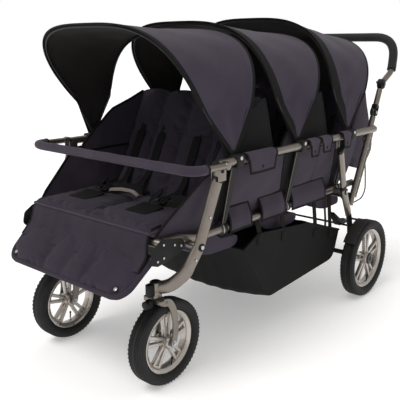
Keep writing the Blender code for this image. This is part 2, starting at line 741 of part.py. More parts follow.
def front_leg(side):
    y, z = FRONT_PIVOT
    path = [(UPPER_X, 0.15, 0.6), (FRONT_PIVOT_X, y, z), (0.303, 0.04, 0.352), (0.27, 0.012, 0.315),
            (CASTER_X + 0.006, 0.0, 0.302)]
    leg = flat_run(rounded(sided(side, path), 0.06, 3), LEG_WIDTH, LEG_THICK)
    socket = cylinder((side * CASTER_X, 0, SOCKET_LOW), (side * CASTER_X, 0, SOCKET_TOP), SOCKET_R, 16)
    housing = box((side * CASTER_X, -0.022, 0.3), (0.02, 0.02, 0.036), bevel=0.002)
    bore = cylinder((side * CASTER_X, 0, SOCKET_LOW - 0.01), (side * CASTER_X, 0, 0.3105), STEM_R + FIT, 14)
    pad = across(*FRONT_PIVOT, side * (FRONT_PIVOT_X - PIVOT_PAD), side * FRONT_PIVOT_X, 0.012, 10)
    return cut(fuse(leg, socket, housing, pad), bore)


def fork_arm(x):
    """One arm of the caster fork, curving back over the tyre and down to the axle."""
    centre = [(-0.004, 0.266), (0.018, 0.262), (0.034, 0.236), (0.042, 0.195), (0.042, 0.16), (TRAIL, 0.128)]
    centre = [Vector(p) for p in centre]
    front, back = [], []
    for i, point in enumerate(centre):
        ahead = centre[min(i + 1, len(centre) - 1)] - centre[max(i - 1, 0)]
        normal = Vector((-ahead.y, ahead.x)).normalized() * 0.0105
        front.append(tuple(point - normal))
        back.append(tuple(point + normal))
    outline = front + [(TRAIL - 0.004, 0.117), (TRAIL + 0.006, 0.118)] + back[::-1]
    return prism(outline, x - 0.0025, x + 0.0025)


def caster_fork(side):
    x = side * CASTER_X
    half = 0.0335
    bridge = box((x, 0.0, 0.2658), (2 * half + 0.005, 0.03, 0.0163), bevel=0.002)
    crown = cylinder((x, 0, 0.262), (x, 0, SOCKET_LOW - FIT), CROWN_R, 16)
    stem = cylinder((x, 0, 0.262), (x, 0, 0.31), STEM_R, 14)
    axle = across(TRAIL, FRONT_R, x - half, x + half, 0.005)
    return fuse(bridge, crown, stem, fork_arm(x - half), fork_arm(x + half), axle)


def swivel_lock(side):
    x = side * CASTER_X
    block = box((x, -0.0262, 0.2605), (0.018, 0.0175, 0.025), bevel=0.002)
    knob = cylinder((x, -0.03, 0.2605), (x, -0.044, 0.2605), 0.0125, 16)
    runner_y = -CROWN_R - FIT
    runner = box((x, (runner_y - 0.019) / 2, 0.2585), (0.01, 0.019 + runner_y, 0.019))
    return fuse(block, knob, runner)


def tyre(x, y, z, radius, rim):
    half = TYRE_WIDTH / 2
    radius /= math.cos(math.pi / WHEEL_SIDES)
    profile = [(-half * 0.62, rim + FIT), (-half, (rim + radius) / 2), (-half * 0.8, radius - 0.005),
               (-half * 0.35, radius), (half * 0.35, radius), (half * 0.8, radius - 0.005),
               (half, (rim + radius) / 2), (half * 0.62, rim + FIT)]
    return turned(profile, (x, y, z), WHEEL_SIDES)


def rim(x, y, z, radius, hub_r, hub_half, bore_r, outer):
    """The wheel inside the tyre: rim ring, hub and five pairs of spokes, dished towards its outer side."""
    well = radius - 0.016
    ring = turned([(-0.018, radius - 0.004), (-0.016, radius), (0.016, radius), (0.018, radius - 0.004),
                   (0.014, well), (-0.014, well)], (x, y, z), WHEEL_SIDES)
    hub = across(y, z, x - hub_half, x + hub_half, hub_r, 16)
    spokes = []
    for i in range(SPOKES):
        angle = -math.pi / 2 + math.tau * i / SPOKES
        for lean in (-1, 1):
            foot = angle + lean * 0.32
            tip = angle + lean * 0.17
            a = Vector((0, math.cos(foot), math.sin(foot))) * (hub_r - 0.003)
            b = Vector((0, math.cos(tip), math.sin(tip))) * (well + 0.004)
            middle, length = (a + b) / 2, (b - a).length
            turn = math.atan2((b - a).z, (b - a).y)
            centre = Vector((x + outer * 0.003, y, z)) + middle
            spokes.append(box(centre, (0.014, length, 0.009), lean=turn))
    bore = across(y, z, x - hub_half - 0.01, x + hub_half + 0.01, bore_r, 14)
    return cut(fuse(ring, hub, *spokes), bore)


def rear_leg(side):
    y, z = REAR_PIVOT
    path = [(0.334, 0.822, 0.592), (REAR_PIVOT_X, y, z), REAR_LEG_END]
    leg = flat_run(rounded(sided(side, path), 0.06, 3), LEG_WIDTH, LEG_THICK)
    return fuse(leg, across(*REAR_PIVOT, side * (REAR_PIVOT_X - PIVOT_PAD), side * REAR_PIVOT_X, 0.012))


def rear_axle():
    y, z = REAR_AXLE_Y, REAR_R
    tube = across(y, z, -0.33, 0.33, 0.009)
    stub = across(y, z, -0.3915, 0.3915, 0.006)
    pieces = [stub]
    end = Vector(REAR_LEG_END)
    down = (end - Vector((REAR_PIVOT_X, *REAR_PIVOT))).normalized()
    for side in (-1, 1):
        post = [end + down * FIT, end + down * 0.02,
                (POST_X, 0.982, 0.27), (0.306, 0.997, 0.2), (0.305, y, z)]
        pieces.append(run(sided(side, rounded(post, 0.05, 2)), POST_R))
        guard = []
        inner = []
        for k in range(5):
            a = math.radians(100 + 11 * k)
            for sheet, r in ((guard, 0.161), (inner, 0.1575)):
                sheet.append([(side * x, y + r * math.cos(a), z + r * math.sin(a)) for x in (0.34, 0.388)])
        pieces.append(shell(guard, inner))
        pieces.append(box((side * 0.328, 0.967, 0.3065), (0.034, 0.01, 0.006)))
    axle = fuse(tube, *pieces)
    pins = [across(PIN_Y, PIN_Z, side * 0.28, side * 0.35, PIN_R + FIT) for side in (-1, 1)]
    return cut(axle, *pins)


def brake_bar():
    y, z = BRAKE_ROD
    end = POST_X - POST_R - FIT
    rod = across(y, z, -end, end, 0.004, 10)
    pedal = prism([(0.93, 0.33), (0.936, 0.317), (0.985, 0.262), (1.05, 0.262), (1.057, 0.27), (1.0, 0.283)],
                  0.24, 0.264, bevel=0.002)
    u_bar = run(rounded([(0.2, 0.985, 0.27), (0.2, 0.973, 0.335), (0.2, 0.95, 0.338)], 0.02, 2), 0.0045, 8)
    tail = run([(0.2, 0.985, 0.27), (0.2, 0.987, 0.222)], 0.0045, 8)
    return fuse(rod, pedal, u_bar, tail)


def brake_pin(side):
    return across(PIN_Y, PIN_Z, side * 0.3005, side * 0.3365, PIN_R)


def brake_cable():
    """The brake cable, hanging in a loop from the left lower rail to the push bar."""
    x, y_top, z_top = 0.268, push_y(0.606), 0.606
    path = [(x, 0.955, LOWER_Z - RAIL_R - 0.0015), (x, 0.968, 0.385), (x, 1.02, 0.348), (x, 1.09, 0.338),
            (x, 1.152, 0.343), (x, 1.182, 0.372), (x, 1.172, 0.446), (x, 1.15, 0.56), (x, y_top, z_top),
            (PUSH_X - PUSH_R - FIT, y_top, z_top)]
    return run(rounded(path, 0.03, 1), 0.0025, 6)


# Bumper

def bumper_path():
    half = [(BUMPER_X, BUMPER_PIVOT[0], BUMPER_PIVOT[1]), (BUMPER_X, 0.023, 0.639), (0.0, 0.015, 0.64)]
    path = rounded(half, 0.045, 5)[:-1]
    return path + [Vector((-p.x, p.y, p.z)) for p in reversed(path)]


def bumper_tube():
    tube = run(bumper_path(), BUMPER_R)
    eyes = [
        across(*BUMPER_PIVOT, side * (BUMPER_X - BUMPER_R), side * (BUMPER_X + BUMPER_R), 0.0115)
        for side in (-1, 1)
    ]
    return fuse(tube, *eyes)


def bumper_pad():
    path = bumper_path()
    share = (BUMPER_PIVOT[0] - BUMPER_PAD_END) / (path[0].y - path[1].y)
    start = path[0].lerp(path[1], share)
    end = Vector((-start.x, start.y, start.z))
    sleeve = run([start] + path[1:-1] + [end], BUMPER_PAD_R)
    return cut(sleeve, run(path, BUMPER_R + 2 * FIT))


def build():
    for side, label in ((1, "left"), (-1, "right")):
        node(f"{label}_upper_rail", upper_rail(side), "frame_tube")
        node(f"{label}_lower_rail", lower_rail(side), "frame_tube")
        node(f"{label}_push_bar", push_bar(side), "frame_tube")
        for row in range(ROWS):
            node(f"{label}_side_strut_{row + 1}", side_strut(side, row), "black_plastic")
        jaw = (side * PUSH_X, *JAW)
        tilt = (side * PUSH_X, *TILT)
        node(f"{label}_handle_arm", handle_arm(side), "black_plastic", jaw)
        node(f"{label}_tilt_button", tilt_button(side), "black_plastic", tilt)
        front = (side * FRONT_PIVOT_X, *FRONT_PIVOT)
        rear = (side * REAR_PIVOT_X, *REAR_PIVOT)
        swivel = (side * CASTER_X, 0, FRONT_R)
        hub = (side * CASTER_X, TRAIL, FRONT_R)
        node(f"{label}_front_leg", front_leg(side), "frame_tube", front)
        node(f"{label}_caster_fork", caster_fork(side), "frame_tube", swivel)
        node(f"{label}_swivel_lock", swivel_lock(side), "black_plastic", swivel)
        node(f"{label}_front_tyre", tyre(*hub, FRONT_R, FRONT_RIM), "tyre", hub)
        node(f"{label}_front_rim", rim(*hub, FRONT_RIM, 0.018, 0.026, 0.005 + FIT, side), "rim", hub)
        hub = (side * REAR_X, REAR_AXLE_Y, REAR_R)
        node(f"{label}_rear_leg", rear_leg(side), "frame_tube", rear)
        node(f"{label}_rear_tyre", tyre(*hub, REAR_R, REAR_RIM), "tyre", hub)
        node(f"{label}_rear_rim", rim(*hub, REAR_RIM, 0.02, 0.022, 0.006 + FIT, side), "rim", hub)
        node(f"{label}_brake_pin", brake_pin(side), "frame_tube", (side * 0.318, PIN_Y, PIN_Z))
    node("knee_cross_tube", knee_cross_tube(), "frame_tube")
    end = PUSH_X - PUSH_R - FIT
    node("rear_cross_tube", across(*CROSS_TUBE, -end, end, RAIL_R), "frame_tube")
    for row in range(ROWS):
        pivot_y = CLAMP_Y + row * ROW_PITCH
        hinge = (0, pivot_y, CANOPY_Z)
        recline = (0, BACK_PIVOT[0] + row * ROW_PITCH, BACK_PIVOT[1])
        node(f"seat_{row + 1}", seat(row), "navy_fabric")
        node(f"backrest_{row + 1}", backrest(row), "navy_fabric", recline)
        node(f"canopy_{row + 1}_fabric", canopy_fabric(row), "navy_fabric", hinge)
        node(f"canopy_{row + 1}_front_bow", bow(row, "front", BOW_EYES[0]), "black_plastic", hinge)
        node(f"canopy_{row + 1}_rear_bow", bow(row, "rear", BOW_EYES[1]), "black_plastic", hinge)
    node("footrest", footrest(), "navy_fabric", (0, *FOOT_PIVOT))
    node("storage_basket", storage_basket(), "black_fabric")
    node("handle_tube", handle_tube(), "frame_tube", (0, *TILT))
    node("handle_grip", handle_grip(), "foam", (0, *TILT))
    node("rear_axle", rear_axle(), "black_plastic", (0, *REAR_PIVOT))
    node("bumper_tube", bumper_tube(), "frame_tube", (0, *BUMPER_PIVOT))
    node("bumper_pad", bumper_pad(), "navy_fabric", (0, *BUMPER_PIVOT))
    node("brake_bar", brake_bar(), "black_plastic", (0, *BRAKE_ROD))
    node("brake_cable", brake_cable(), "black_plastic")


def to_origin():
    """Moves the stroller so that the middle of its box stands over the origin, its tyres on z = 0."""
    bpy.context.view_layer.update()
    points = []
    for obj in PARTS.objects:
        if obj.type == "MESH":
            points += [obj.matrix_world @ v.co for v in obj.data.vertices]
    low, high = np.min(points, axis=0), np.max(points, axis=0)
    ROOT.location = (-(low[0] + high[0]) / 2, -(low[1] + high[1]) / 2, -low[2])


clear_scene()
PARTS = bpy.data.collections.new("six_seat_stroller")
bpy.context.scene.collection.children.link(PARTS)
ROOT = bpy.data.objects.new("stroller_origin", None)
PARTS.objects.link(ROOT)
build()
to_origin()
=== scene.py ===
# %% [markdown]
# # A six-seat stroller
#
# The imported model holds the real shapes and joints: rails, legs, wheels, bows and simple solids for the
# cloth. This file dresses that model. Each step says what a piece is on the real stroller, how it could be
# made in Blender, and why it is made this way. Lengths are metres, the front faces -Y, and +X is the
# stroller's own left.

import math

import bmesh
import bpy
import numpy as np
from mathutils import Matrix, Vector


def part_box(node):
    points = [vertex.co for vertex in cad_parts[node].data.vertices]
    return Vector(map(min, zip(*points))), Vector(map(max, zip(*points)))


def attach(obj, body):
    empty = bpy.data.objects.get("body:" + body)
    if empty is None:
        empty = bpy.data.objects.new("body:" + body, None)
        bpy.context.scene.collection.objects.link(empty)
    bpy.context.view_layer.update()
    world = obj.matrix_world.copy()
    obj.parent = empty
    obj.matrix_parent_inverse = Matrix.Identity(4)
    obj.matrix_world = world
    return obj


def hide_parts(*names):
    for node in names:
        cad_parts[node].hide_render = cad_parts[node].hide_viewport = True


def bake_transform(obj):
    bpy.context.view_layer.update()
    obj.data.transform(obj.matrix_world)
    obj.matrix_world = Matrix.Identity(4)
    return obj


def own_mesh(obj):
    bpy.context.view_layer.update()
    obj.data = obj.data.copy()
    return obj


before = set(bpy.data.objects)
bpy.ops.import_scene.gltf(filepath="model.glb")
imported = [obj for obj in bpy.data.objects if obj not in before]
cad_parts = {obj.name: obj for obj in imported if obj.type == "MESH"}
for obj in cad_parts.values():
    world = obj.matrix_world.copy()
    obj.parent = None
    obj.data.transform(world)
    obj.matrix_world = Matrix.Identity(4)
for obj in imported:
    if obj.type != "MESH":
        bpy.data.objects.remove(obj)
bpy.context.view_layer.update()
SIDES = {"left": 1, "right": -1}
ROWS = 3
PITCH = 0.34

# %% [markdown]
# ## Where things are
#
# Distances along the stroller are easiest to think of from the front caster's swivel axis. The packed
# model stands with its middle over the origin, so one shift, read from a front tyre, joins the two.

# %% One shift from stroller distances to the frame
TRAIL = 0.034
hub_low, hub_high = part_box("left_front_tyre")
SHIFT = (hub_low.y + hub_high.y) / 2 - TRAIL


def at(x, y, z):
    return Vector((x, y + SHIFT, z))


def at_all(points):
    return [at(*p) for p in points]


print("the caster axis stands at y =", round(SHIFT, 4))

# %% [markdown]
# ## The camera
#
# The stroller is seen from its left front corner, from a little above. The long side's parallel tubes and
# the four wheels give the direction, the distance and the lens.

# %% Camera
AZIMUTH, ELEVATION = math.radians(40.76), math.radians(14.42)
TARGET, DISTANCE = (-0.0007, 0.4494, 0.4262), 2.1136
FRAME_PX, FOCAL_PX, SENSOR = 400, 604.2, 36.0

camera_data = bpy.data.cameras.new("photo_camera")
camera_data.sensor_width = SENSOR
camera_data.lens = FOCAL_PX / FRAME_PX * SENSOR
camera_data.clip_start, camera_data.clip_end = 0.05, 100
camera = bpy.data.objects.new("photo_camera", camera_data)
bpy.context.scene.collection.objects.link(camera)
level = math.cos(ELEVATION)
back = Vector((math.sin(AZIMUTH) * level, -math.cos(AZIMUTH) * level, math.sin(ELEVATION)))
camera.location = at(*TARGET) + back * DISTANCE
camera.rotation_euler = (-back).to_track_quat("-Z", "Y").to_euler()
bpy.context.scene.camera = camera
bpy.context.scene.view_settings.view_transform = "Standard"
print("lens", round(camera_data.lens, 1), "mm")

# %% [markdown]
# ## Shader sums as Python sums
#
# A finish is a small tree of nodes. Wrapping an output socket in a class whose operators add the Math node
# lets a pattern be written as the sum that it is. Every other node comes from one method.

# %% The two small classes
class Wire:
    """An output socket of a finish. Arithmetic on it adds Math nodes."""

    def __init__(self, look, socket):
        self.look, self.socket = look, socket

    def maths(self, operation, *others):
        return self.look.add("Math", {"operation": operation}, self, *others)

    def __add__(self, other):
        return self.maths("ADD", other)

    def __radd__(self, other):
        return self + other

    def __sub__(self, other):
        return self.maths("SUBTRACT", other)

    def __rsub__(self, other):
        return self.look.add("Math", {"operation": "SUBTRACT"}, other, self)

    def __mul__(self, other):
        return self.maths("MULTIPLY", other)

    def __rmul__(self, other):
        return self * other

    def sine(self):
        return self.maths("SINE")

    def between(self, low, high):
        """0 below low, 1 above high and a straight ramp between."""
        return self.look.add("MapRange", {"clamp": True}, self, low, high, 0.0, 1.0)


class Look:
    """A finish: one Principled shader and the nodes that feed it."""

    def __init__(self, name, **fixed):
        self.material = bpy.data.materials.new(name)
        self.material.use_nodes = True
        self.tree = self.material.node_tree
        self.shader = self.tree.nodes["Principled BSDF"]
        for socket, value in fixed.items():
            self.shader.inputs[socket.replace("_", " ")].default_value = value

    def feed(self, socket, value):
        if isinstance(value, Wire):
            self.tree.links.new(value.socket, socket)
        else:
            socket.default_value = value

    def add(self, kind, settings=None, *values, out=0, **named):
        """Any node: its type, its settings, which are set first, and the values or links of its sockets."""
        node = self.tree.nodes.new("ShaderNode" + kind)
        for key, value in (settings or {}).items():
            setattr(node, key, value)
        sockets = dict(enumerate(values))
        sockets.update({key.replace("_", " "): value for key, value in named.items()})
        for key, value in sockets.items():
            if value is not None:
                self.feed(node.inputs[key], value)
        return Wire(self, node.outputs[out])

    def place(self, stretch=(1, 1, 1)):
        """Object coordinates, stretched."""
        spot = self.add("TexCoord", out="Object")
        return self.add("Mapping", Vector=spot, Scale=stretch)

    def xyz(self):
        split = self.add("SeparateXYZ", None, self.add("TexCoord", out="Object"))
        return [Wire(self, socket) for socket in split.socket.node.outputs]

    def noise(self, scale, detail=2.0, roughness=0.5, stretch=(1, 1, 1)):
        spot = self.place(stretch)
        return self.add("TexNoise", Vector=spot, Scale=scale, Detail=detail, Roughness=roughness)

    def tint(self, factor, dark, light):
        """A colour between two others. Sockets 1 to 5 of a Mix node are for numbers and vectors."""
        ends = [color if isinstance(color, Wire) else (*color, 1) for color in (dark, light)]
        return self.add("Mix", {"data_type": "RGBA"}, factor, *[None] * 5, *ends, out=2)

    def bump(self, height, distance, strength=1.0, onto=None):
        return self.add("Bump", Strength=strength, Distance=distance, Height=height, Normal=onto)

    def show(self, color=None, roughness=None, normal=None):
        for socket, value in (("Base Color", color), ("Roughness", roughness), ("Normal", normal)):
            if value is not None:
                self.feed(self.shader.inputs[socket], value)
        return self.material


print("shader classes ready")

# %% [markdown]
# ## Cloth finishes
#
# The seats and hoods are a plain-weave polyester in a muted navy, bound with black tape. The weave is the
# product of two sets of fine waves in object space, skewed a little so that it never vanishes on a face
# that looks straight along an axis. Broad noise gives the handling marks and slight fading of real cloth.

# %% Cloth
def cloth_finish(name, dark, light, pitch=0.0011, crease=0.0016, crease_scale=9.0, rough=0.84, sheen=0.15):
    look = Look(name, Sheen_Weight=sheen, Sheen_Roughness=0.45, Specular_IOR_Level=0.2)
    x, y, z = look.xyz()
    turns = math.tau / pitch
    warp = ((x + y * 0.37) * turns).sine()
    weft = ((z + y * 0.61) * turns).sine()
    weave = warp * weft * 0.5 + 0.5
    blotch = look.noise(6.0, 4.0, 0.6).between(0.3, 0.72)
    lint = look.noise(420.0, 3.0, 0.7).between(0.35, 0.75)
    cover = blotch * 0.45 + lint * 0.3 + weave * 0.25
    creases = look.noise(crease_scale, 3.0, 0.55, (1.0, 0.55, 1.5))
    normal = look.bump(weave, 0.00022, 0.6)
    normal = look.bump(creases, crease, 0.9, normal)
    return look.show(look.tint(cover, dark, light), rough + lint * 0.1, normal)


NAVY = cloth_finish("navy_polyester", (0.030, 0.0225, 0.037), (0.060, 0.047, 0.072))
NAVY_PAD = cloth_finish("navy_quilted", (0.021, 0.017, 0.0265), (0.043, 0.0345, 0.052),
                        crease=0.0022, crease_scale=16.0, sheen=0.06)
BLACK_CLOTH = cloth_finish("black_nylon", (0.003, 0.003, 0.003), (0.011, 0.010, 0.010), 0.0009, sheen=0.03)
BINDING = cloth_finish("black_binding", (0.003, 0.003, 0.003), (0.010, 0.009, 0.009),
                       0.0007, 0.0004, 60.0, sheen=0.03)
LINING = cloth_finish("black_lining", (0.013, 0.011, 0.0105), (0.030, 0.026, 0.025),
                      0.001, 0.0022, 14.0, sheen=0.03)


def webbing_finish(name, dark, light):
    """Seat-belt webbing: close ribs across the strap."""
    look = Look(name, Specular_IOR_Level=0.2)
    x, y, z = look.xyz()
    ribs = ((x * 0.7 + y + z) * (math.tau / 0.0016)).sine() * 0.5 + 0.5
    dust = look.noise(90.0, 3.0, 0.6)
    color = look.tint(ribs * 0.4 + dust * 0.6, dark, light)
    return look.show(color, 0.7 + dust * 0.15, look.bump(ribs, 0.0003, 0.8))


WEBBING = webbing_finish("black_webbing", (0.003, 0.003, 0.003), (0.009, 0.0085, 0.0085))
# The pale grey finish is the loose grey strap's own colour, and also the painted highlight strips along the struts'
# edges.
PALE_WEBBING_AND_HIGHLIGHT = webbing_finish("grey_webbing_and_painted_highlight", (0.17, 0.14, 0.13), (0.27, 0.23, 0.21))
THREAD = webbing_finish("sewing_thread", (0.05, 0.045, 0.07), (0.1, 0.09, 0.13))
print("cloth finishes:", NAVY.name, NAVY_PAD.name, BLACK_CLOTH.name, BINDING.name, LINING.name)

# %% [markdown]
# ## Metal, plastic, foam and rubber
#
# The tubes are champagne anodised aluminium: drawn lines along them, faint smudges and small scratches. The
# mouldings have a fine spark-eroded grain, the sleeves are closed-cell foam with open pores on its skin, and
# the tyres are rubber that is dusty where it meets the ground.

# %% Hard finishes
def tube_finish(name, dark, light, metallic=0.9, rough=0.3):
    look = Look(name, Metallic=metallic)
    drawn = look.noise(700.0, 2.0, 0.5, (1.0, 0.03, 0.2))
    smudge = look.noise(14.0, 4.0, 0.6).between(0.35, 0.7)
    scratch = look.noise(260.0, 1.0, 0.4, (0.3, 1.0, 0.05)).between(0.66, 0.72)
    tone = drawn * 0.35 + smudge * 0.5 + scratch * 0.15
    normal = look.bump(drawn + scratch * 0.6, 0.00006, 0.5)
    return look.show(look.tint(tone, dark, light), rough + smudge * 0.1 - scratch * 0.06, normal)


ALUMINIUM = tube_finish("champagne_aluminium", (0.19, 0.166, 0.146), (0.275, 0.247, 0.217))
STEEL = tube_finish("zinc_steel", (0.42, 0.42, 0.43), (0.62, 0.62, 0.63), 1.0, 0.26)


def rim_finish():
    look = Look("metallic_painted_rim", Metallic=0.75, Coat_Weight=0.35, Coat_Roughness=0.08)
    flake = look.noise(1500.0, 2.0, 0.6).between(0.4, 0.65)
    dust = look.noise(22.0, 4.0, 0.65).between(0.45, 0.75)
    base = look.tint(flake, (0.42, 0.385, 0.35), (0.60, 0.56, 0.515))
    dusted = look.tint(dust * 0.35, base, (0.30, 0.28, 0.26))
    return look.show(dusted, 0.24 + dust * 0.2, look.bump(flake, 0.00004, 0.4))


def plastic_finish(name, dark, light, rough=0.46, grain=1300.0):
    look = Look(name, Specular_IOR_Level=0.28)
    spark = look.noise(grain, 2.0, 0.6)
    scuff = look.noise(35.0, 5.0, 0.7, (1.0, 0.4, 1.0)).between(0.55, 0.78)
    return look.show(look.tint(scuff * 0.8 + spark * 0.2, dark, light), rough + spark * 0.12 + scuff * 0.1,
                     look.bump(spark, 0.00009, 0.7))


def foam_finish():
    look = Look("foam_sleeve", Specular_IOR_Level=0.3, Sheen_Weight=0.1)
    pore = look.add("TexVoronoi", Vector=look.place(), Scale=850.0).between(0.1, 0.55)
    wear = look.noise(20.0, 4.0, 0.6).between(0.4, 0.75)
    return look.show(look.tint(wear * 0.7 + pore * 0.3, (0.006, 0.006, 0.007), (0.022, 0.022, 0.024)),
                     0.72 + wear * 0.12, look.bump(pore, 0.0002, 0.6))


def tyre_finish():
    look = Look("ribbed_rubber", Specular_IOR_Level=0.35)
    grain = look.noise(900.0, 2.0, 0.6)
    dust = look.noise(26.0, 5.0, 0.7).between(0.45, 0.8)
    return look.show(look.tint(dust * 0.6 + grain * 0.2, (0.007, 0.007, 0.0075), (0.034, 0.033, 0.033)),
                     0.7 + dust * 0.2, look.bump(grain, 0.00012, 0.7))


RIM = rim_finish()
PLASTIC = plastic_finish("black_moulding", (0.004, 0.004, 0.004), (0.015, 0.014, 0.014), 0.5)
GLOSSY = plastic_finish("black_gloss_moulding", (0.006, 0.006, 0.0065), (0.016, 0.016, 0.017), 0.2, 2200.0)
WIRE = plastic_finish("coated_bow_wire", (0.007, 0.007, 0.0075), (0.02, 0.02, 0.021), 0.35)
GUARD = plastic_finish("worn_black_mudguard", (0.012, 0.011, 0.0105), (0.036, 0.033, 0.031), 0.55)
FOAM = foam_finish()
TYRE = tyre_finish()
HARD = (ALUMINIUM, STEEL, RIM, PLASTIC, GLOSSY, WIRE, GUARD, FOAM, TYRE)
print("hard finishes:", ", ".join(material.name for material in HARD))

# %% [markdown]
# ## Shapes
#
# Nearly all of the frame is bent tube, turned pieces and small mouldings with softened edges. These helpers
# make each kind of mesh in its place. A tube is a curve with a round bevel, because Blender then keeps its
# section square to the path in every bend.

# %% Mesh helpers
def link(name, data):
    obj = bpy.data.objects.new(name, data)
    bpy.context.scene.collection.objects.link(obj)
    return obj


def harvest(obj):
    """The evaluated mesh of an object, which is then removed."""
    bpy.context.view_layer.update()
    mesh = bpy.data.meshes.new_from_object(obj.evaluated_get(bpy.context.evaluated_depsgraph_get()))
    bpy.data.objects.remove(obj, do_unlink=True)
    return mesh


def into_mesh(bm):
    mesh = bpy.data.meshes.new("shape")
    bm.to_mesh(mesh)
    bm.free()
    return mesh


def from_bmesh(bm, weld=1e-6):
    """The mesh with its doubles welded and its faces turned outwards."""
    bmesh.ops.remove_doubles(bm, verts=bm.verts, dist=weld)
    bmesh.ops.recalc_face_normals(bm, faces=bm.faces)
    return into_mesh(bm)


def merged(*meshes):
    """Several meshes as one, each shell kept as it is."""
    bm = bmesh.new()
    for mesh in meshes:
        bm.from_mesh(mesh)
    return into_mesh(bm)


def bent(points, radius=0.05, steps=8, share=0.49):
    """The path with its inner corners rounded."""
    points = [Vector(p) for p in points]
    path = [points[0]]
    for before, corner, after in zip(points, points[1:], points[2:]):
        one, two = before - corner, after - corner
        half = one.angle(two) / 2
        reach = min(radius / math.tan(half), one.length * share, two.length * share)
        start, end = corner + one.normalized() * reach, corner + two.normalized() * reach
        for i in range(steps + 1):
            t = i / steps
            path.append(start * (1 - t) ** 2 + corner * 2 * t * (1 - t) + end * t**2)
    return path + [points[-1]]


def rounded(outline, radius, steps):
    """A closed flat outline with rounded corners: the path runs on past its start, and one lap is kept."""
    lap = bent([(a, b, 0) for a, b in outline + outline[:2]], radius, steps)
    return [(p.x, p.y) for p in lap[steps + 1:-1]]


def new_curve(name, **settings):
    curve = bpy.data.curves.new(name, "CURVE")
    curve.dimensions = "3D"
    for key, value in settings.items():
        setattr(curve, key, value)
    return curve


def run_through(curve, points):
    spline = curve.splines.new("POLY")
    spline.points.add(len(points) - 1)
    for point, co in zip(spline.points, points):
        point.co = (*co, 1)
    return spline


def sweep(curve, points):
    """The curve's section carried along the points."""
    run_through(curve, points)
    bm = bmesh.new()
    bm.from_mesh(harvest(link("sweep", curve)))
    return from_bmesh(bm)


def tube(points, radius, sides=20):
    fine = (sides - 4) // 2
    return sweep(new_curve("tube", bevel_depth=radius, bevel_resolution=fine, use_fill_caps=True), points)


def oval_tube(points, width, thick, sides=28):
    turns = [math.tau * i / sides for i in range(sides)]
    profile = new_curve("oval", dimensions="2D")
    oval = [(thick / 2 * math.cos(turn), width / 2 * math.sin(turn), 0) for turn in turns]
    run_through(profile, oval).use_cyclic_u = True
    section = link("section", profile)
    leg = new_curve("leg", twist_mode="Z_UP", bevel_mode="OBJECT", bevel_object=section, use_fill_caps=True)
    mesh = sweep(leg, points)
    bpy.data.objects.remove(section, do_unlink=True)
    return mesh


SHARP = math.radians(30)


def softened(bm, edge, segments):
    """Rounds every sharp edge."""
    bmesh.ops.recalc_face_normals(bm, faces=bm.faces)
    sharp = [e for e in bm.edges if len(e.link_faces) == 2 and e.calc_face_angle(0) > SHARP]
    if sharp:
        bmesh.ops.bevel(bm, geom=sharp, offset=edge, segments=segments, profile=0.5, affect="EDGES",
                        clamp_overlap=True)
    return from_bmesh(bm)


def block(centre, size, edge=0.0015, lean=0.0, segments=3):
    bm = bmesh.new()
    turn = Matrix.Translation(centre) @ Matrix.Rotation(lean, 4, "X") @ Matrix.Diagonal((*size, 1))
    bmesh.ops.create_cube(bm, size=1, matrix=turn)
    return softened(bm, edge, segments)


def rod(start, end, radius, edge=0.0006, sides=24):
    start, end = Vector(start), Vector(end)
    axis = end - start
    turn = Matrix.Translation((start + end) / 2) @ axis.to_track_quat("Z", "Y").to_matrix().to_4x4()
    bm = bmesh.new()
    bmesh.ops.create_cone(bm, cap_ends=True, segments=sides, radius1=radius, radius2=radius,
                          depth=axis.length, matrix=turn)
    return softened(bm, edge, 2)


def across(y, z, x0, x1, radius, edge=0.0006, sides=24):
    return rod(at(x0, y, z), at(x1, y, z), radius, edge, sides)


def slab(outline, x0, x1, edge=0.001, segments=2):
    """A flat outline of (y, z) points, thick from x0 to x1."""
    bm = bmesh.new()
    face = bm.faces.new([bm.verts.new(at(x0, y, z)) for y, z in outline])
    made = bmesh.ops.extrude_face_region(bm, geom=[face])
    moved = [v for v in made["geom"] if isinstance(v, bmesh.types.BMVert)]
    bmesh.ops.translate(bm, verts=moved, vec=(x1 - x0, 0, 0))
    return softened(bm, edge, segments)


def turned(profile, centre, steps, axis="X"):
    """A closed ring of (along, radius) points turned about an axis through centre."""
    bm = bmesh.new()
    spin_axis = Vector((1, 0, 0)) if axis == "X" else Vector((0, 0, 1))
    out = Vector((0, 0, 1)) if axis == "X" else Vector((1, 0, 0))
    verts = [bm.verts.new(centre + spin_axis * a + out * r) for a, r in profile]
    edges = [bm.edges.new(pair) for pair in zip(verts, verts[1:] + verts[:1])]
    bmesh.ops.spin(bm, geom=verts + edges, cent=centre, axis=spin_axis, angle=math.tau, steps=steps,
                   use_merge=True)
    return from_bmesh(bm)


def loft(rings, closed=False, weld=1e-6):
    """A skin over rings of points. Its ends are capped, or where it is closed they meet."""
    bm = bmesh.new()
    rings = [[bm.verts.new(p) for p in ring] for ring in rings]
    pairs = list(zip(rings, rings[1:])) + ([(rings[-1], rings[0])] if closed else [])
    for one, two in pairs:
        for i in range(len(one)):
            k = (i + 1) % len(one)
            bm.faces.new((one[i], one[k], two[k], two[i]))
    if not closed:
        bm.faces.new(rings[0])
        bm.faces.new(rings[-1])
    return from_bmesh(bm, weld)


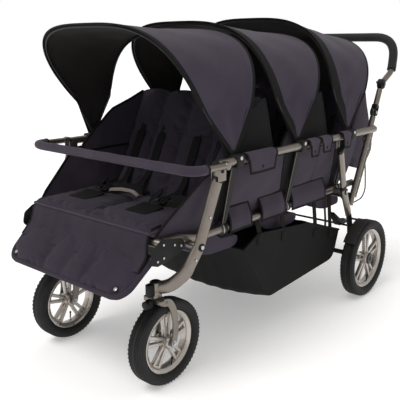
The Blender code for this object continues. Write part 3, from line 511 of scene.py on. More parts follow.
def closed_mesh(front, rear, weld=1e-6, band=0):
    """A closed shell between two grids: finish 0 in front, 1 behind, 2 on the front's first columns."""
    rows, columns = np.shape(front)[:2]
    bm = bmesh.new()
    a, b = ([[bm.verts.new(p) for p in row] for row in g] for g in (front, rear))
    for g, look in ((a, 0), (b, 1)):
        for i in range(rows - 1):
            for j in range(columns - 1):
                face = bm.faces.new((g[i][j], g[i + 1][j], g[i + 1][j + 1], g[i][j + 1]))
                face.material_index = 2 if look == 0 and j < band else look
    rim = [(i, 0) for i in range(rows)] + [(rows - 1, j) for j in range(1, columns)]
    rim += [(i, columns - 1) for i in range(rows - 2, -1, -1)] + [(0, j) for j in range(columns - 2, 0, -1)]
    for (i, j), (k, m) in zip(rim, rim[1:] + rim[:1]):
        bm.faces.new((a[i][j], a[k][m], b[k][m], b[i][j]))
    return from_bmesh(bm, weld)


def modified(mesh, *steps):
    """The mesh after some modifiers, each a type and its settings."""
    obj = link("work", mesh)
    for kind, settings in steps:
        modifier = obj.modifiers.new(kind, kind)
        for key, value in settings.items():
            setattr(modifier, key, value)
    return harvest(obj)


def smoothed(mesh, levels=1):
    return modified(mesh, ("SUBSURF", {"levels": levels, "render_levels": levels}))


def piece(name, mesh, finish, body, stands_for=(), angle=38):
    """A finished piece: its material, smooth shading, body and the CAD nodes it stands for."""
    mesh.name = name
    looks = finish if isinstance(finish, (list, tuple)) else [finish]
    which = np.zeros(len(mesh.polygons), np.int32)
    if len(looks) > 1:
        mesh.polygons.foreach_get("material_index", which)
    mesh.materials.clear()
    for look in looks:
        mesh.materials.append(look)
    mesh.polygons.foreach_set("material_index", np.minimum(which, len(looks) - 1))
    mesh.shade_smooth()
    mesh.set_sharp_from_angle(angle=math.radians(angle))
    obj = link(name, mesh)
    if body:
        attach(obj, body)
    if stands_for:
        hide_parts(*([stands_for] if isinstance(stands_for, str) else stands_for))
    return obj


print("mesh helpers ready")

# %% [markdown]
# ## Things that repeat
#
# Stitches run along seams, ribs run round tyres and spokes repeat round a hub. Geometry Nodes do this with
# one small tree each: one spaces copies of a unit along a curve, the other turns copies about an axle. Both
# end in Realize Instances and Set Material, and their result is kept as a plain mesh.

# %% Two node trees
def new_tree(name, sockets):
    tree = bpy.data.node_groups.new(name, "GeometryNodeTree")
    tree.interface.new_socket("Geometry", in_out="INPUT", socket_type="NodeSocketGeometry")
    for label, kind in sockets:
        tree.interface.new_socket(label, in_out="INPUT", socket_type="NodeSocket" + kind)
    tree.interface.new_socket("Geometry", in_out="OUTPUT", socket_type="NodeSocketGeometry")
    tree.nodes.new("NodeGroupInput")
    tree.nodes.new("NodeGroupOutput")
    return tree


def add_node(tree, kind, *feeds, **settings):
    """A node with its settings. Each feed is an output or a value, and the input that it goes to."""
    node = tree.nodes.new(kind)
    for key, value in settings.items():
        setattr(node, key, value)
    for source, key in feeds:
        if isinstance(source, bpy.types.NodeSocket):
            tree.links.new(source, node.inputs[key])
        else:
            node.inputs[key].default_value = source
    return node.outputs


def finish_tree(tree, copies):
    """Makes the copies real, sets their finish and hands them out."""
    finish = tree.nodes["Group Input"].outputs["Finish"]
    real = add_node(tree, "GeometryNodeRealizeInstances", (copies, "Geometry"))
    dressed = add_node(tree, "GeometryNodeSetMaterial", (real[0], "Geometry"), (finish, "Material"))
    tree.links.new(dressed[0], tree.nodes["Group Output"].inputs["Geometry"])
    return tree


def path_tree():
    tree = new_tree("units_along_a_path", [("Unit", "Object"), ("Spacing", "Float"), ("Finish", "Material")])
    given = tree.nodes["Group Input"].outputs
    spaced = add_node(tree, "GeometryNodeResampleCurve", (given["Geometry"], "Curve"),
                      (given["Spacing"], "Length"), mode="LENGTH")
    unit = add_node(tree, "GeometryNodeObjectInfo", (given["Unit"], "Object"))
    tangent = add_node(tree, "GeometryNodeInputTangent")
    aimed = add_node(tree, "FunctionNodeAlignRotationToVector", (tangent[0], "Vector"), axis="X")
    placed = add_node(tree, "GeometryNodeInstanceOnPoints", (spaced["Curve"], "Points"),
                      (unit["Geometry"], "Instance"), (aimed[0], "Rotation"))
    return finish_tree(tree, placed[0])


def round_tree():
    tree = new_tree("copies_round_an_axle", [("Count", "Int"), ("Axle", "Vector"), ("Finish", "Material")])
    given = tree.nodes["Group Input"].outputs
    single = add_node(tree, "GeometryNodeGeometryToInstance", (given["Geometry"], 0))
    copies = add_node(tree, "GeometryNodeDuplicateElements", (single[0], "Geometry"),
                      (given["Count"], "Amount"), domain="INSTANCE")
    share = add_node(tree, "ShaderNodeMath", (math.tau, 0), (given["Count"], 1), operation="DIVIDE")
    angle = add_node(tree, "ShaderNodeMath", (share[0], 0), (copies["Duplicate Index"], 1),
                     operation="MULTIPLY")
    turn = add_node(tree, "ShaderNodeCombineXYZ", (angle[0], "X"))
    ring = add_node(tree, "GeometryNodeRotateInstances", (copies["Geometry"], "Instances"),
                    (turn[0], "Rotation"), (given["Axle"], "Pivot Point"), (False, "Local Space"))
    return finish_tree(tree, ring[0])


ALONG, ROUND = path_tree(), round_tree()


def run_tree(data, tree, **inputs):
    """The plain mesh that the tree makes from this mesh or curve."""
    obj = link("source", data)
    modifier = obj.modifiers.new("pattern", "NODES")
    modifier.node_group = tree
    for item in tree.interface.items_tree:
        if item.in_out == "INPUT" and item.name in inputs:
            modifier[item.identifier] = inputs[item.name]
    return harvest(obj)


def round_axle(mesh, count, axle, finish):
    return run_tree(mesh, ROUND, Count=count, Axle=tuple(axle), Finish=finish)


def stitched(path, finish, spacing=0.0075, length=0.0045, radius=0.0005):
    """A row of stitches, each a short capsule lying along the path."""
    bm = bmesh.new()
    bmesh.ops.create_uvsphere(bm, u_segments=6, v_segments=4, radius=radius)
    bmesh.ops.scale(bm, verts=bm.verts, vec=(length / radius / 2, 1, 1))
    unit = link("stitch", from_bmesh(bm))
    seam = new_curve("seam")
    run_through(seam, path)
    mesh = run_tree(seam, ALONG, Unit=unit, Spacing=spacing, Finish=finish)
    bpy.data.objects.remove(unit, do_unlink=True)
    return mesh


print("node trees:", ALONG.name, "and", ROUND.name)

# %% [markdown]
# ## Tyres and rims
#
# Each tyre is a closed ring with ribs running round its tread and a shoulder of small lugs. The ribs are
# part of the turned outline, and the lugs are one small block copied round the axle by nodes. The rim is a
# moulded wheel: a ring, a hub and five pairs of spokes.

# %% Wheels
FRONT_R, FRONT_RIM, REAR_R, REAR_RIM = 0.128, 0.0945, 0.15, 0.115
STEM_X, REAR_WHEEL_X, AXLE_Y, AXLE_Z = 0.225, 0.365, 1.003, REAR_R
HUBS = {"front": (0.018, 0.026, 0.0053), "rear": (0.02, 0.022, 0.0063)}
LUGS, SPOKE_PAIRS, RIB_PITCH = 60, 5, 0.0056


def mirrored(half):
    """The whole of a turned outline from its first half."""
    return half + [(-x, r) for x, r in reversed(half)]


def tyre_outline(radius, rim):
    """From the bead out over the shoulder to the ribs of the tread, then mirrored."""
    half = [(0.0165, rim + 0.0006), (0.0215, rim + 0.004), (0.0262, rim + 0.011),
            (0.027, (rim + radius) / 2 + 0.001), (0.0262, radius - 0.0105), (0.0238, radius - 0.0055),
            (0.0205, radius - 0.0026)]
    for k in (3, 2, 1):
        x = RIB_PITCH * k
        half += [(x + 0.0009, radius - 0.0012), (x + 0.0005, radius - 0.0034), (x - 0.0005, radius - 0.0034),
                 (x - 0.0009, radius - 0.0006)]
    return mirrored(half)


def wheel(side_name, end, hub, radius, rim):
    side, body = SIDES[side_name], f"{side_name}_{end}_wheel"
    hub_r, hub_half, bore = HUBS[end]
    well = rim - 0.0145
    ring = turned(tyre_outline(radius, rim), hub, 96)
    lug = block(hub + Vector((0, 0, radius - 0.0042)), (0.0052, 0.0042, 0.0058), 0.0006, segments=1)
    lugs = []
    for edge in (-1, 1):
        moved = lug.copy()
        moved.transform(Matrix.Translation((edge * 0.0215, 0, -0.0012)))
        lugs.append(round_axle(moved, LUGS, hub, TYRE))
    piece(f"{side_name}_{end}_tyre_ribbed", merged(ring, *lugs), TYRE, body, f"{side_name}_{end}_tyre")

    lip = [(-0.0185, rim - 0.0035), (-0.0175, rim - 0.0006), (-0.0145, rim), (0.0145, rim),
           (0.0175, rim - 0.0006), (0.0185, rim - 0.0035), (0.0165, rim - 0.0065), (0.0125, well + 0.001),
           (0.0105, well), (-0.0105, well), (-0.0125, well + 0.001), (-0.0165, rim - 0.0065)]
    barrel = mirrored([(-hub_half, bore), (-hub_half, hub_r - 0.002), (-hub_half + 0.002, hub_r),
                       (-0.012, hub_r + 0.002)])
    spokes = []
    for lean in (-1, 1):
        foot, tip = math.pi / 2 + lean * 0.36, math.pi / 2 + lean * 0.155
        a = Vector((0, math.cos(foot), math.sin(foot))) * (hub_r - 0.002)
        b = Vector((0, math.cos(tip), math.sin(tip))) * (well + 0.005)
        turn = math.atan2((b - a).z, (b - a).y)
        centre = hub + Vector((side * 0.003, 0, 0)) + (a + b) / 2
        spokes.append(block(centre, (0.0145, (b - a).length, 0.0105), 0.0028, turn, 3))
    web = block(hub + Vector((side * 0.001, 0, (hub_r + well) * 0.32)), (0.006, 0.016, 0.012), 0.002)
    tips = block(hub + Vector((side * 0.003, 0, well - 0.002)), (0.012, 0.03, 0.009), 0.003)
    spoked = round_axle(merged(*spokes, web, tips), SPOKE_PAIRS, hub, RIM)
    piece(f"{side_name}_{end}_rim_spoked", merged(turned(lip, hub, 96), turned(barrel, hub, 48), spoked),
          RIM, body, f"{side_name}_{end}_rim", 45)
    if end == "rear":
        outer = side * hub_half
        cap = [(outer, 0.0078), (outer, 0.0225), (outer + side * 0.004, 0.0215),
               (outer + side * 0.0052, 0.0175), (outer + side * 0.0052, 0.0078)]
        piece(f"{side_name}_rear_hub_cap", turned(cap, hub, 48), GLOSSY, body)
    stem, neck, top = (hub + Vector((side * x, y, -(rim - z)))
                       for x, y, z in ((0.012, 0.012, 0.016), (0.013, 0.014, 0.034), (0.013, 0.0145, 0.04)))
    valve = merged(rod(stem, neck, 0.0022), rod(neck, top, 0.0033))
    piece(f"{side_name}_{end}_valve", valve, PLASTIC, body)


for name, side in SIDES.items():
    wheel(name, "front", at(side * STEM_X, TRAIL, FRONT_R), FRONT_R, FRONT_RIM)
    wheel(name, "rear", at(side * REAR_WHEEL_X, AXLE_Y, AXLE_Z), REAR_R, REAR_RIM)
print("four wheels, with", LUGS, "shoulder lugs a side and", SPOKE_PAIRS, "spoke pairs each")

# %% [markdown]
# ## Caster forks, locks and front legs
#
# Each fork is one pressing whose two flat arms curve back over the tyre and down to the axle. It turns in a
# collar at the foot of an oval leg tube. A sprung black lock sits in front of the collar with a round knob.

# %% Casters
FORK_HALF, ARM_HALF, LOCK_Z = 0.0335, 0.0105, 0.2605


def fork_arm(x):
    """A flat arm from the crown back over the tyre and down to the axle, with a round tip."""
    centre = [(-0.004, 0.266), (0.018, 0.262), (0.034, 0.236), (0.042, 0.195), (0.042, 0.16), (TRAIL, FRONT_R)]
    path = [p.xy for p in bent([(y, z, 0) for y, z in centre], 0.05, 5)]
    front, rear = [], []
    for i, point in enumerate(path):
        ahead = path[min(i + 1, len(path) - 1)] - path[max(i - 1, 0)]
        normal = Vector((-ahead.y, ahead.x)).normalized() * ARM_HALF
        front.append(tuple(point - normal))
        rear.append(tuple(point + normal))
    turns = np.radians(np.linspace(196, 350, 9))
    tip = [(TRAIL + ARM_HALF * math.cos(turn), FRONT_R + ARM_HALF * math.sin(turn)) for turn in turns]
    return slab(front + tip + rear[::-1], x - 0.0025, x + 0.0025, 0.0009)


for name, side in SIDES.items():
    x, body = side * STEM_X, f"{name}_caster"
    fork = merged(block(at(x, 0, 0.2658), (2 * FORK_HALF + 0.005, 0.03, 0.0163), 0.004),
                  fork_arm(x - FORK_HALF), fork_arm(x + FORK_HALF),
                  rod(at(x, 0, 0.262), at(x, 0, 0.274), 0.016, 0.001, 40),
                  rod(at(x, 0, 0.262), at(x, 0, 0.31), 0.006),
                  across(TRAIL, FRONT_R, x - FORK_HALF, x + FORK_HALF, 0.005))
    piece(f"{name}_caster_fork_pressed", fork, ALUMINIUM, body, f"{name}_caster_fork")
    washer, nut = (0.0022, 0.0035, 0.0095, 0.0004, 32), (0.003, 0.0075, 0.0065, 0.0008, 6)
    nuts = [across(TRAIL, FRONT_R, x + end * (FORK_HALF + inner), x + end * (FORK_HALF + outer), *size)
            for end in (-1, 1) for inner, outer, *size in (washer, nut)]
    piece(f"{name}_front_axle_nuts", merged(*nuts), STEEL, body)

    lock = merged(block(at(x, -0.0262, LOCK_Z), (0.018, 0.0175, 0.025), 0.003),
                  block(at(x, -0.0177, 0.2585), (0.01, 0.0028, 0.019), 0.0005),
                  rod(at(x, -0.03, LOCK_Z), at(x, -0.0405, LOCK_Z), 0.0105, 0.0015, 32),
                  rod(at(x, -0.0385, LOCK_Z), at(x, -0.044, LOCK_Z), 0.0125, 0.002, 40))
    piece(f"{name}_swivel_lock_moulded", lock, PLASTIC, f"{name}_swivel_lock",
          f"{name}_swivel_lock")

print("casters made, each fork on its stem at x =", STEM_X)

# %% Front legs
LEG_PIVOT, LEG_SIZE = (0.083, 0.418), (0.038, 0.02)
for name, side in SIDES.items():
    x, body = side * STEM_X, f"{name}_front_leg"
    path = [(side * 0.322, 0.15, 0.6), (side * 0.312, *LEG_PIVOT), (side * 0.303, 0.04, 0.352),
            (side * 0.27, 0.012, 0.315), (side * 0.231, 0, 0.302)]
    leg = merged(oval_tube(bent(at_all(path), 0.07, 8), *LEG_SIZE),
                 across(*LEG_PIVOT, side * 0.3005, side * 0.312, 0.012))
    piece(f"{name}_front_leg_oval", leg, ALUMINIUM, body, f"{name}_front_leg")
    collar = turned([(0.2743, 0.0063), (0.2743, 0.0155), (0.2755, 0.017), (0.2935, 0.017), (0.2945, 0.0162),
                     (0.296, 0.0162), (0.297, 0.017), (0.3185, 0.017), (0.32, 0.0155), (0.32, 0.0063)],
                    at(x, 0, 0), 48, "Z")
    piece(f"{name}_caster_collar", collar, ALUMINIUM, body)
    cap = turned([(0.3195, 0.0063), (0.3195, 0.0125), (0.3225, 0.011), (0.3225, 0.0063)], at(x, 0, 0), 40, "Z")
    housing = merged(block(at(x, -0.022, 0.3), (0.02, 0.02, 0.036), 0.003),
                     across(*LEG_PIVOT, side * 0.3215, side * 0.3235, 0.0115, 0.0007, 40), cap)
    piece(f"{name}_lock_housing", housing, PLASTIC, body)
    bolts = merged(across(*LEG_PIVOT, side * 0.3232, side * 0.3262, 0.0062, 0.001, 24),
                   across(0.062, 0.386, side * 0.3185, side * 0.3215, 0.0035, 0.0008, 20),
                   across(0.112, 0.497, side * 0.3265, side * 0.329, 0.004, 0.0008, 20))
    piece(f"{name}_front_leg_bolts", bolts, STEEL, body)
    top = at_all([(side * 0.3213, 0.1465, 0.5895), (side * 0.3222, 0.1512, 0.6028)])
    piece(f"{name}_front_leg_cap", oval_tube(top, 0.0392, 0.0212), PLASTIC, body)
print("front legs done")

# %% [markdown]
# ## Side frames
#
# Two round rails a side are tied by three wide black struts. The struts clamp the upper rail, narrow on the
# way down and ring the lower rail. Each clamp also carries the pivot of a hood.

# %% Rails
UPPER_X, UPPER_Z, LOWER_X, LOWER_Z, RAIL_R = 0.322, 0.637, 0.27, 0.427, 0.0125
PUSH_X, PUSH_R = 0.295, 0.011
PUSH_LINE = ((1.0, 0.348), (1.012, 0.382), (1.104, 0.571), (1.155, 0.696))
JAW, TILT = PUSH_LINE[-1], (1.2, 0.802)
REAR_PIVOT, BUMPER_EYE = (0.892, 0.427), (0.155, 0.637)


def push_y(z):
    return float(np.interp(z, [p[1] for p in PUSH_LINE], [p[0] for p in PUSH_LINE]))


for name, side in SIDES.items():
    rail = tube(at_all([(side * UPPER_X, 0.14, UPPER_Z), (side * UPPER_X, 1.108, UPPER_Z)]), RAIL_R, 32)
    parts = [rail, across(*BUMPER_EYE, side * UPPER_X, side * 0.3367, 0.008)]
    for offset in (-1, 1):
        cheek = at(side * (UPPER_X + offset * 0.0121), 0.153, 0.6145)
        parts.append(block(cheek, (0.003, 0.034, 0.045), 0.0012))
    y = push_y(UPPER_Z)
    parts.append(block(at(side * 0.3088, (1.098 + y) / 2, UPPER_Z), (0.005, y - 1.078, 0.02), 0.002))
    parts.append(block(at(side * 0.3205, 0.822, 0.6105), (0.006, 0.022, 0.03), 0.001))
    piece(f"{name}_upper_rail_tube", merged(*parts), ALUMINIUM, "seat_frame", f"{name}_upper_rail")
    plug = rod(at(side * UPPER_X, 0.1388, UPPER_Z), at(side * UPPER_X, 0.146, UPPER_Z), 0.0131, 0.0015, 32)
    latch = across(0.153, 0.6205, side * 0.3352, side * 0.3385, 0.0052, 0.001)
    piece(f"{name}_upper_rail_plug", merged(plug, latch), PLASTIC, "seat_frame")

    path = [(side * LOWER_X, y, z) for y, z in ((-0.0172, 0.446), (0.055, 0.443), (0.12, LOWER_Z), (1.05, LOWER_Z))]
    rail = merged(tube(bent(at_all(path), 0.15, 8), RAIL_R, 32),
                  across(*LEG_PIVOT, side * LOWER_X, side * 0.3002, 0.01),
                  across(*REAR_PIVOT, side * LOWER_X, side * 0.3082, 0.01),
                  across(push_y(LOWER_Z), LOWER_Z, side * LOWER_X, side * 0.2837, 0.009))
    piece(f"{name}_lower_rail_tube", rail, ALUMINIUM, "seat_frame", f"{name}_lower_rail")

    path = at_all([(side * PUSH_X, y, z) for y, z in PUSH_LINE])
    axis = (path[-1] - path[-2]).normalized()
    path[-1] = path[-1] - axis * 0.0185
    lean = -math.atan2(axis.y, axis.z)
    rod_path = [(side * PUSH_X, y, z) for y, z in ((1.04, 0.372), (1.062, 0.413), (1.138, 0.571), (1.157, 0.625),
                                                   (1.13, 0.637))]
    bar = merged(tube(bent(path, 0.1, 8), PUSH_R, 28),
                 across(*JAW, side * (PUSH_X - 0.005), side * (PUSH_X + 0.005), 0.014),
                 block(at(side * PUSH_X, *JAW) - axis * 0.013, (0.01, 0.02, 0.024), 0.0012, lean),
                 tube(bent(at_all(rod_path), 0.03, 6), 0.004, 16),
                 rod(at(side * PUSH_X, 1.02, 0.385), at(side * PUSH_X, 1.046, 0.374), 0.004))
    piece(f"{name}_push_bar_tube", bar, ALUMINIUM, "seat_frame", f"{name}_push_bar")
    rivets = [across(push_y(z), z, side * (PUSH_X + 0.0105), side * (PUSH_X + 0.0125), 0.0035, 0.0008)
              for z in (0.45, 0.56, 0.6)]
    rivets += [across(y, UPPER_Z, side * 0.311, side * 0.3128, 0.0034, 0.0008) for y in (1.104, 1.126)]
    piece(f"{name}_push_bar_rivets", merged(*rivets), STEEL, "seat_frame")
print("rails and push bars done")

# %% Struts
FIRST_STRUT, HINGE_Z = 0.235, 0.645
STRUT_TOP, STRUT_FOOT = (0.3135, 0.622, 0.0175), (0.2745, 0.44, 0.0085)
STRUT_SECTION = ((-1, -1), (-0.4, -1.03), (0.4, -1.03), (1, -1), (1.25, 0), (1, 1), (0.4, 1.03), (-0.4, 1.03),
                 (-1, 1), (-0.8, 0))


def strut_plate(side, y):
    """The flat of a strut, which leans in and narrows on its way down."""
    rings = []
    for k in range(9):
        x, z, half = (top + (foot - top) * (k / 8) for top, foot in zip(STRUT_TOP, STRUT_FOOT))
        rings.append([at(side * (x + dx * 0.003), y + dy * half, z) for dx, dy in STRUT_SECTION])
    return loft(rings)


def lower_rail_ring(half, side, y):
    """A ring turned about the lower rail from half its outline of (along, radius) points."""
    ring = turned(mirrored(half), Vector((0, 0, 0)), 48)
    ring.transform(Matrix.Translation(at(side * LOWER_X, y, LOWER_Z)) @ Matrix.Rotation(math.pi / 2, 4, "Z"))
    return ring


for name, side in SIDES.items():
    for row in range(ROWS):
        y, tag = FIRST_STRUT + row * PITCH, f"{name}_strut_{row + 1}"
        strut = merged(block(at(side * UPPER_X, y, 0.6365), (0.031, 0.035, 0.037), 0.0055, segments=4),
                       strut_plate(side, y),
                       lower_rail_ring([(-0.0085, 0.0132), (-0.0085, 0.0165), (-0.007, 0.018)], side, y),
                       across(y, HINGE_Z, side * 0.3065, side * 0.2906, 0.003))
        piece(f"{tag}_moulded", strut, PLASTIC, "seat_frame", f"{name}_side_strut_{row + 1}")
        # A pale strip along the strut's front edge: a painted highlight that stands for light caught on the strut's
        # edge.
        edge = at_all([(side * 0.3175, y - 0.0172, 0.616), (side * 0.2785, y - 0.0086, 0.446)])
        piece(f"{tag}_piping", tube(edge, 0.0011, 10), PALE_WEBBING_AND_HIGHLIGHT, "seat_frame")
        screw = across(y, HINGE_Z, side * 0.3372, side * 0.3392, 0.0058, 0.0009, 32)
        band = lower_rail_ring([(-0.0014, 0.013), (-0.0014, 0.0186)], side, y - 0.0098)
        piece(f"{tag}_fittings", merged(screw, band), STEEL, "seat_frame")
print("six struts, each with its clamp screw, painted edge highlight and lower band")

# %% Cross tubes and knee plates
KNEE_TUBE, KNEE_X, REAR_TUBE, REAR_X = (-0.03, 0.446), 0.2871, (1.012, 0.382), 0.2837
KNEE_RIVETS = ((-0.053, 0.406), (-0.03, 0.446), (0.012, 0.436), (0.038, 0.428), (-0.03, 0.41))
knee_outline = [(-0.078, 0.405), (-0.06, 0.39), (0.0, 0.4), (0.045, 0.412), (0.052, 0.43), (0.045, 0.448),
                (-0.035, 0.461), (-0.07, 0.44)]
knee_tube = across(*KNEE_TUBE, -KNEE_X, KNEE_X, RAIL_R, 0.0006, 32)
piece("knee_cross_tube_drawn", knee_tube, ALUMINIUM, "seat_frame", "knee_cross_tube")
for name, side in SIDES.items():
    plate = slab(rounded(knee_outline, 0.02, 5), side * 0.2831, side * KNEE_X, 0.0008)
    piece(f"{name}_knee_plate", plate, PLASTIC, "seat_frame")
    heads = [across(y, z, side * 0.2869, side * 0.2892, 0.0036, 0.0009) for y, z in KNEE_RIVETS]
    piece(f"{name}_knee_rivets", merged(*heads), STEEL, "seat_frame")
rear_tube = across(*REAR_TUBE, -REAR_X, REAR_X, RAIL_R, 0.0006, 32)
piece("rear_cross_tube_drawn", rear_tube, ALUMINIUM, "seat_frame", "rear_cross_tube")
print("cross tubes and knee plates done")

# %% [markdown]
# ## Rear legs, axle and brake
#
# The rear legs are the same oval tube as the front ones. Black posts carry the axle, each with a small
# mudguard, and a foot pedal on a thin rod works a pin at each rear wheel through a sheathed cable.

# %% Rear end
GUARD_OUTSIDE = ((0.34, 0.1585), (0.342, 0.1608), (0.364, 0.1616), (0.386, 0.1608), (0.388, 0.1585))
GUARD_INSIDE = ((0.3415, 0.1575), (0.343, 0.1585), (0.364, 0.159), (0.385, 0.1585), (0.3865, 0.1575))
guard_turns = np.radians(np.linspace(98, 146, 15))
leg_end = Vector((0.311, 0.957, 0.328))
down = (leg_end - Vector((0.32, *REAR_PIVOT))).normalized()
axle_parts = [across(AXLE_Y, AXLE_Z, -0.33, 0.33, 0.009), across(AXLE_Y, AXLE_Z, -0.3915, 0.3915, 0.006)]
guards = []
for name, side in SIDES.items():
    path = at_all([(side * 0.334, 0.822, 0.592), (side * 0.32, *REAR_PIVOT), (side * 0.311, 0.957, 0.328)])
    leg = merged(oval_tube(bent(path, 0.08, 8), *LEG_SIZE),
                 across(*REAR_PIVOT, side * 0.3085, side * 0.32, 0.012))
    piece(f"{name}_rear_leg_oval", leg, ALUMINIUM, "rear_legs", f"{name}_rear_leg")
    top = at_all([(side * 0.3333, 0.8253, 0.5843), (side * 0.3341, 0.8213, 0.5937)])
    knuckle = at_all([(side * 0.3222, 0.8815, 0.4517), (side * 0.3211, 0.8868, 0.4391)])
    caps = merged(oval_tube(top, 0.0395, 0.0215), oval_tube(knuckle, 0.0395, 0.0215),
                  across(*REAR_PIVOT, side * 0.3293, side * 0.332, 0.0118, 0.0008, 40))
    piece(f"{name}_rear_leg_caps", caps, PLASTIC, "rear_legs")
    bolts = merged(across(*REAR_PIVOT, side * 0.3315, side * 0.3345, 0.006, 0.001),
                   across(0.93, 0.369, side * 0.3245, side * 0.327, 0.0036, 0.0008))
    piece(f"{name}_rear_leg_bolts", bolts, STEEL, "rear_legs")
    one, two = leg_end + down * 0.0003, leg_end + down * 0.02
    post = [(side * one.x, one.y, one.z), (side * two.x, two.y, two.z), (side * 0.3085, 0.982, 0.27),
            (side * 0.306, 0.997, 0.2), (side * 0.305, AXLE_Y, AXLE_Z)]
    collar = [(side * 0.316, 0.0085), (side * 0.316, 0.0135), (side * 0.327, 0.0135), (side * 0.327, 0.0085)]
    axle_parts += [tube(bent(at_all(post), 0.05, 6), 0.0108, 24),
                   block(at(side * 0.328, 0.967, 0.3065), (0.034, 0.01, 0.006), 0.0015),
                   turned(collar, at(0, AXLE_Y, AXLE_Z), 40)]
    outer, inner = ([[at(side * x, AXLE_Y + r * math.cos(turn), AXLE_Z + r * math.sin(turn))
                      for x, r in section] for turn in guard_turns] for section in (GUARD_OUTSIDE, GUARD_INSIDE))
    guards.append(closed_mesh(outer, inner))
piece("rear_axle_moulded", merged(*axle_parts), PLASTIC, "rear_legs", "rear_axle")
piece("rear_mudguards", merged(*guards), GUARD, "rear_legs")
print("rear legs and axle done")

# %% Brake
BRAKE_ROD, LEVER_X, CABLE_X, CABLE_TOP_Z = (0.985, 0.27), 0.2, 0.268, 0.606
pedal_outline = [(0.93, 0.33), (0.936, 0.317), (0.985, 0.262), (1.05, 0.262), (1.057, 0.27), (1.0, 0.283)]
brake = [across(*BRAKE_ROD, -0.2972, 0.2972, 0.004, 0.0006, 20),
         slab(rounded(pedal_outline, 0.012, 4), 0.24, 0.264, 0.002, 3)]
for k in range(6):
    tread = at(0.252, 1.012 + 0.0075 * k, 0.2828 - 0.0016 * k)
    brake.append(block(tread, (0.021, 0.0022, 0.0022), 0.0006, -0.2, 1))
piece("brake_pedal_moulded", merged(*brake), PLASTIC, "brake_pedal", "brake_bar")
hook = at_all([(LEVER_X, *BRAKE_ROD), (LEVER_X, 0.973, 0.335), (LEVER_X, 0.95, 0.338)])
tail = at_all([(LEVER_X, 0.985, 0.272), (LEVER_X, 0.987, 0.222)])
lever = merged(tube(bent(hook, 0.02, 6), 0.0045, 16), tube(tail, 0.0045, 16))
piece("brake_lever_wire", lever, ALUMINIUM, "brake_pedal")
y_top = push_y(CABLE_TOP_Z)
route = [(CABLE_X, y, z) for y, z in ((0.955, 0.413), (0.968, 0.385), (1.02, 0.348), (1.09, 0.338), (1.152, 0.343),
                                      (1.182, 0.372), (1.172, 0.446), (1.15, 0.56),
                                      (y_top + 0.0075, CABLE_TOP_Z - 0.011))]
cable_line = bent(at_all(route + [(REAR_X, y_top, CABLE_TOP_Z)]), 0.04, 8)
cable_length = sum((b - a).length for a, b in zip(cable_line, cable_line[1:]))
cable = piece("brake_cable_sheath", tube(cable_line, 0.0025, 12), PLASTIC, "seat_frame",
              "brake_cable")
print(f"brake cable {cable_length:.3f} m long")
for name in SIDES:
    pin_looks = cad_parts[f"{name}_brake_pin"].data.materials
    pin_looks.clear()
    pin_looks.append(STEEL)
print("brake pedal, lever, cable and pins done")

# %% [markdown]
# ## Handle
#
# The handle is one bent tube with a foam sleeve over its top. It turns on toothed hubs at the ends of two
# short arms, freed by a press button on each hub, and the arms fold in jaws on the push bars.

# %% Handle
def far_side(points):
    """The points' mirror images across the stroller's middle, in reverse."""
    return [Vector((-p.x, p.y, p.z)) for p in reversed(points)]


def handle_path():
    low, knee, top = at(PUSH_X, *TILT), at(PUSH_X, 1.288, 0.848), at(0.279, 1.342, 0.982)
    start = low + (knee - low).normalized() * 0.0165
    bend_to = knee.lerp(top, 0.3)
    side_bend = bent([start, knee, bend_to], 0.06, 8, 0.9)
    corner = bent([bend_to, top, Vector((0, top.y, top.z))], 0.098, 12, 0.97)
    half = side_bend[:-1] + corner[:-1]
    return half + far_side(half), len(side_bend)


path, bend_count = handle_path()
tilt_hubs = []
for side in SIDES.values():
    x, rim_x = side * PUSH_X - side * 0.001, side * PUSH_X + side * 0.0115
    ring = [(x, 0.004), (x, 0.019), (side * PUSH_X + side * 0.0095, 0.019), (rim_x, 0.0172), (rim_x, 0.0102),
            (side * PUSH_X + side * 0.0028, 0.0102), (side * PUSH_X + side * 0.0028, 0.004)]
    tilt_hubs.append(turned(ring, at(0, *TILT), 56))
piece("handle_tube_bent", tube(path, PUSH_R, 28), ALUMINIUM, "handle", "handle_tube")
piece("handle_hubs_outer", merged(*tilt_hubs), PLASTIC, "handle")
GRIP_R = 0.0172
grip_path = path[bend_count - 5:len(path) - bend_count + 5]
grip = tube(grip_path, GRIP_R, 36)
collars = []
for i, step in ((0, 1), (-1, -1)):
    inward = (grip_path[i + step] - grip_path[i]).normalized()
    collars.append(rod(grip_path[i] - inward * 0.001, grip_path[i] + inward * 0.007, 0.0175, 0.0012, 36))
seam = tube([p + Vector((0, -GRIP_R * 0.55, -GRIP_R * 0.82)) for p in grip_path[9:-9]], 0.0009, 8)
piece("handle_grip_foam", merged(grip, seam), FOAM, "handle", "handle_grip")
piece("handle_grip_collars", merged(*collars), PLASTIC, "handle")

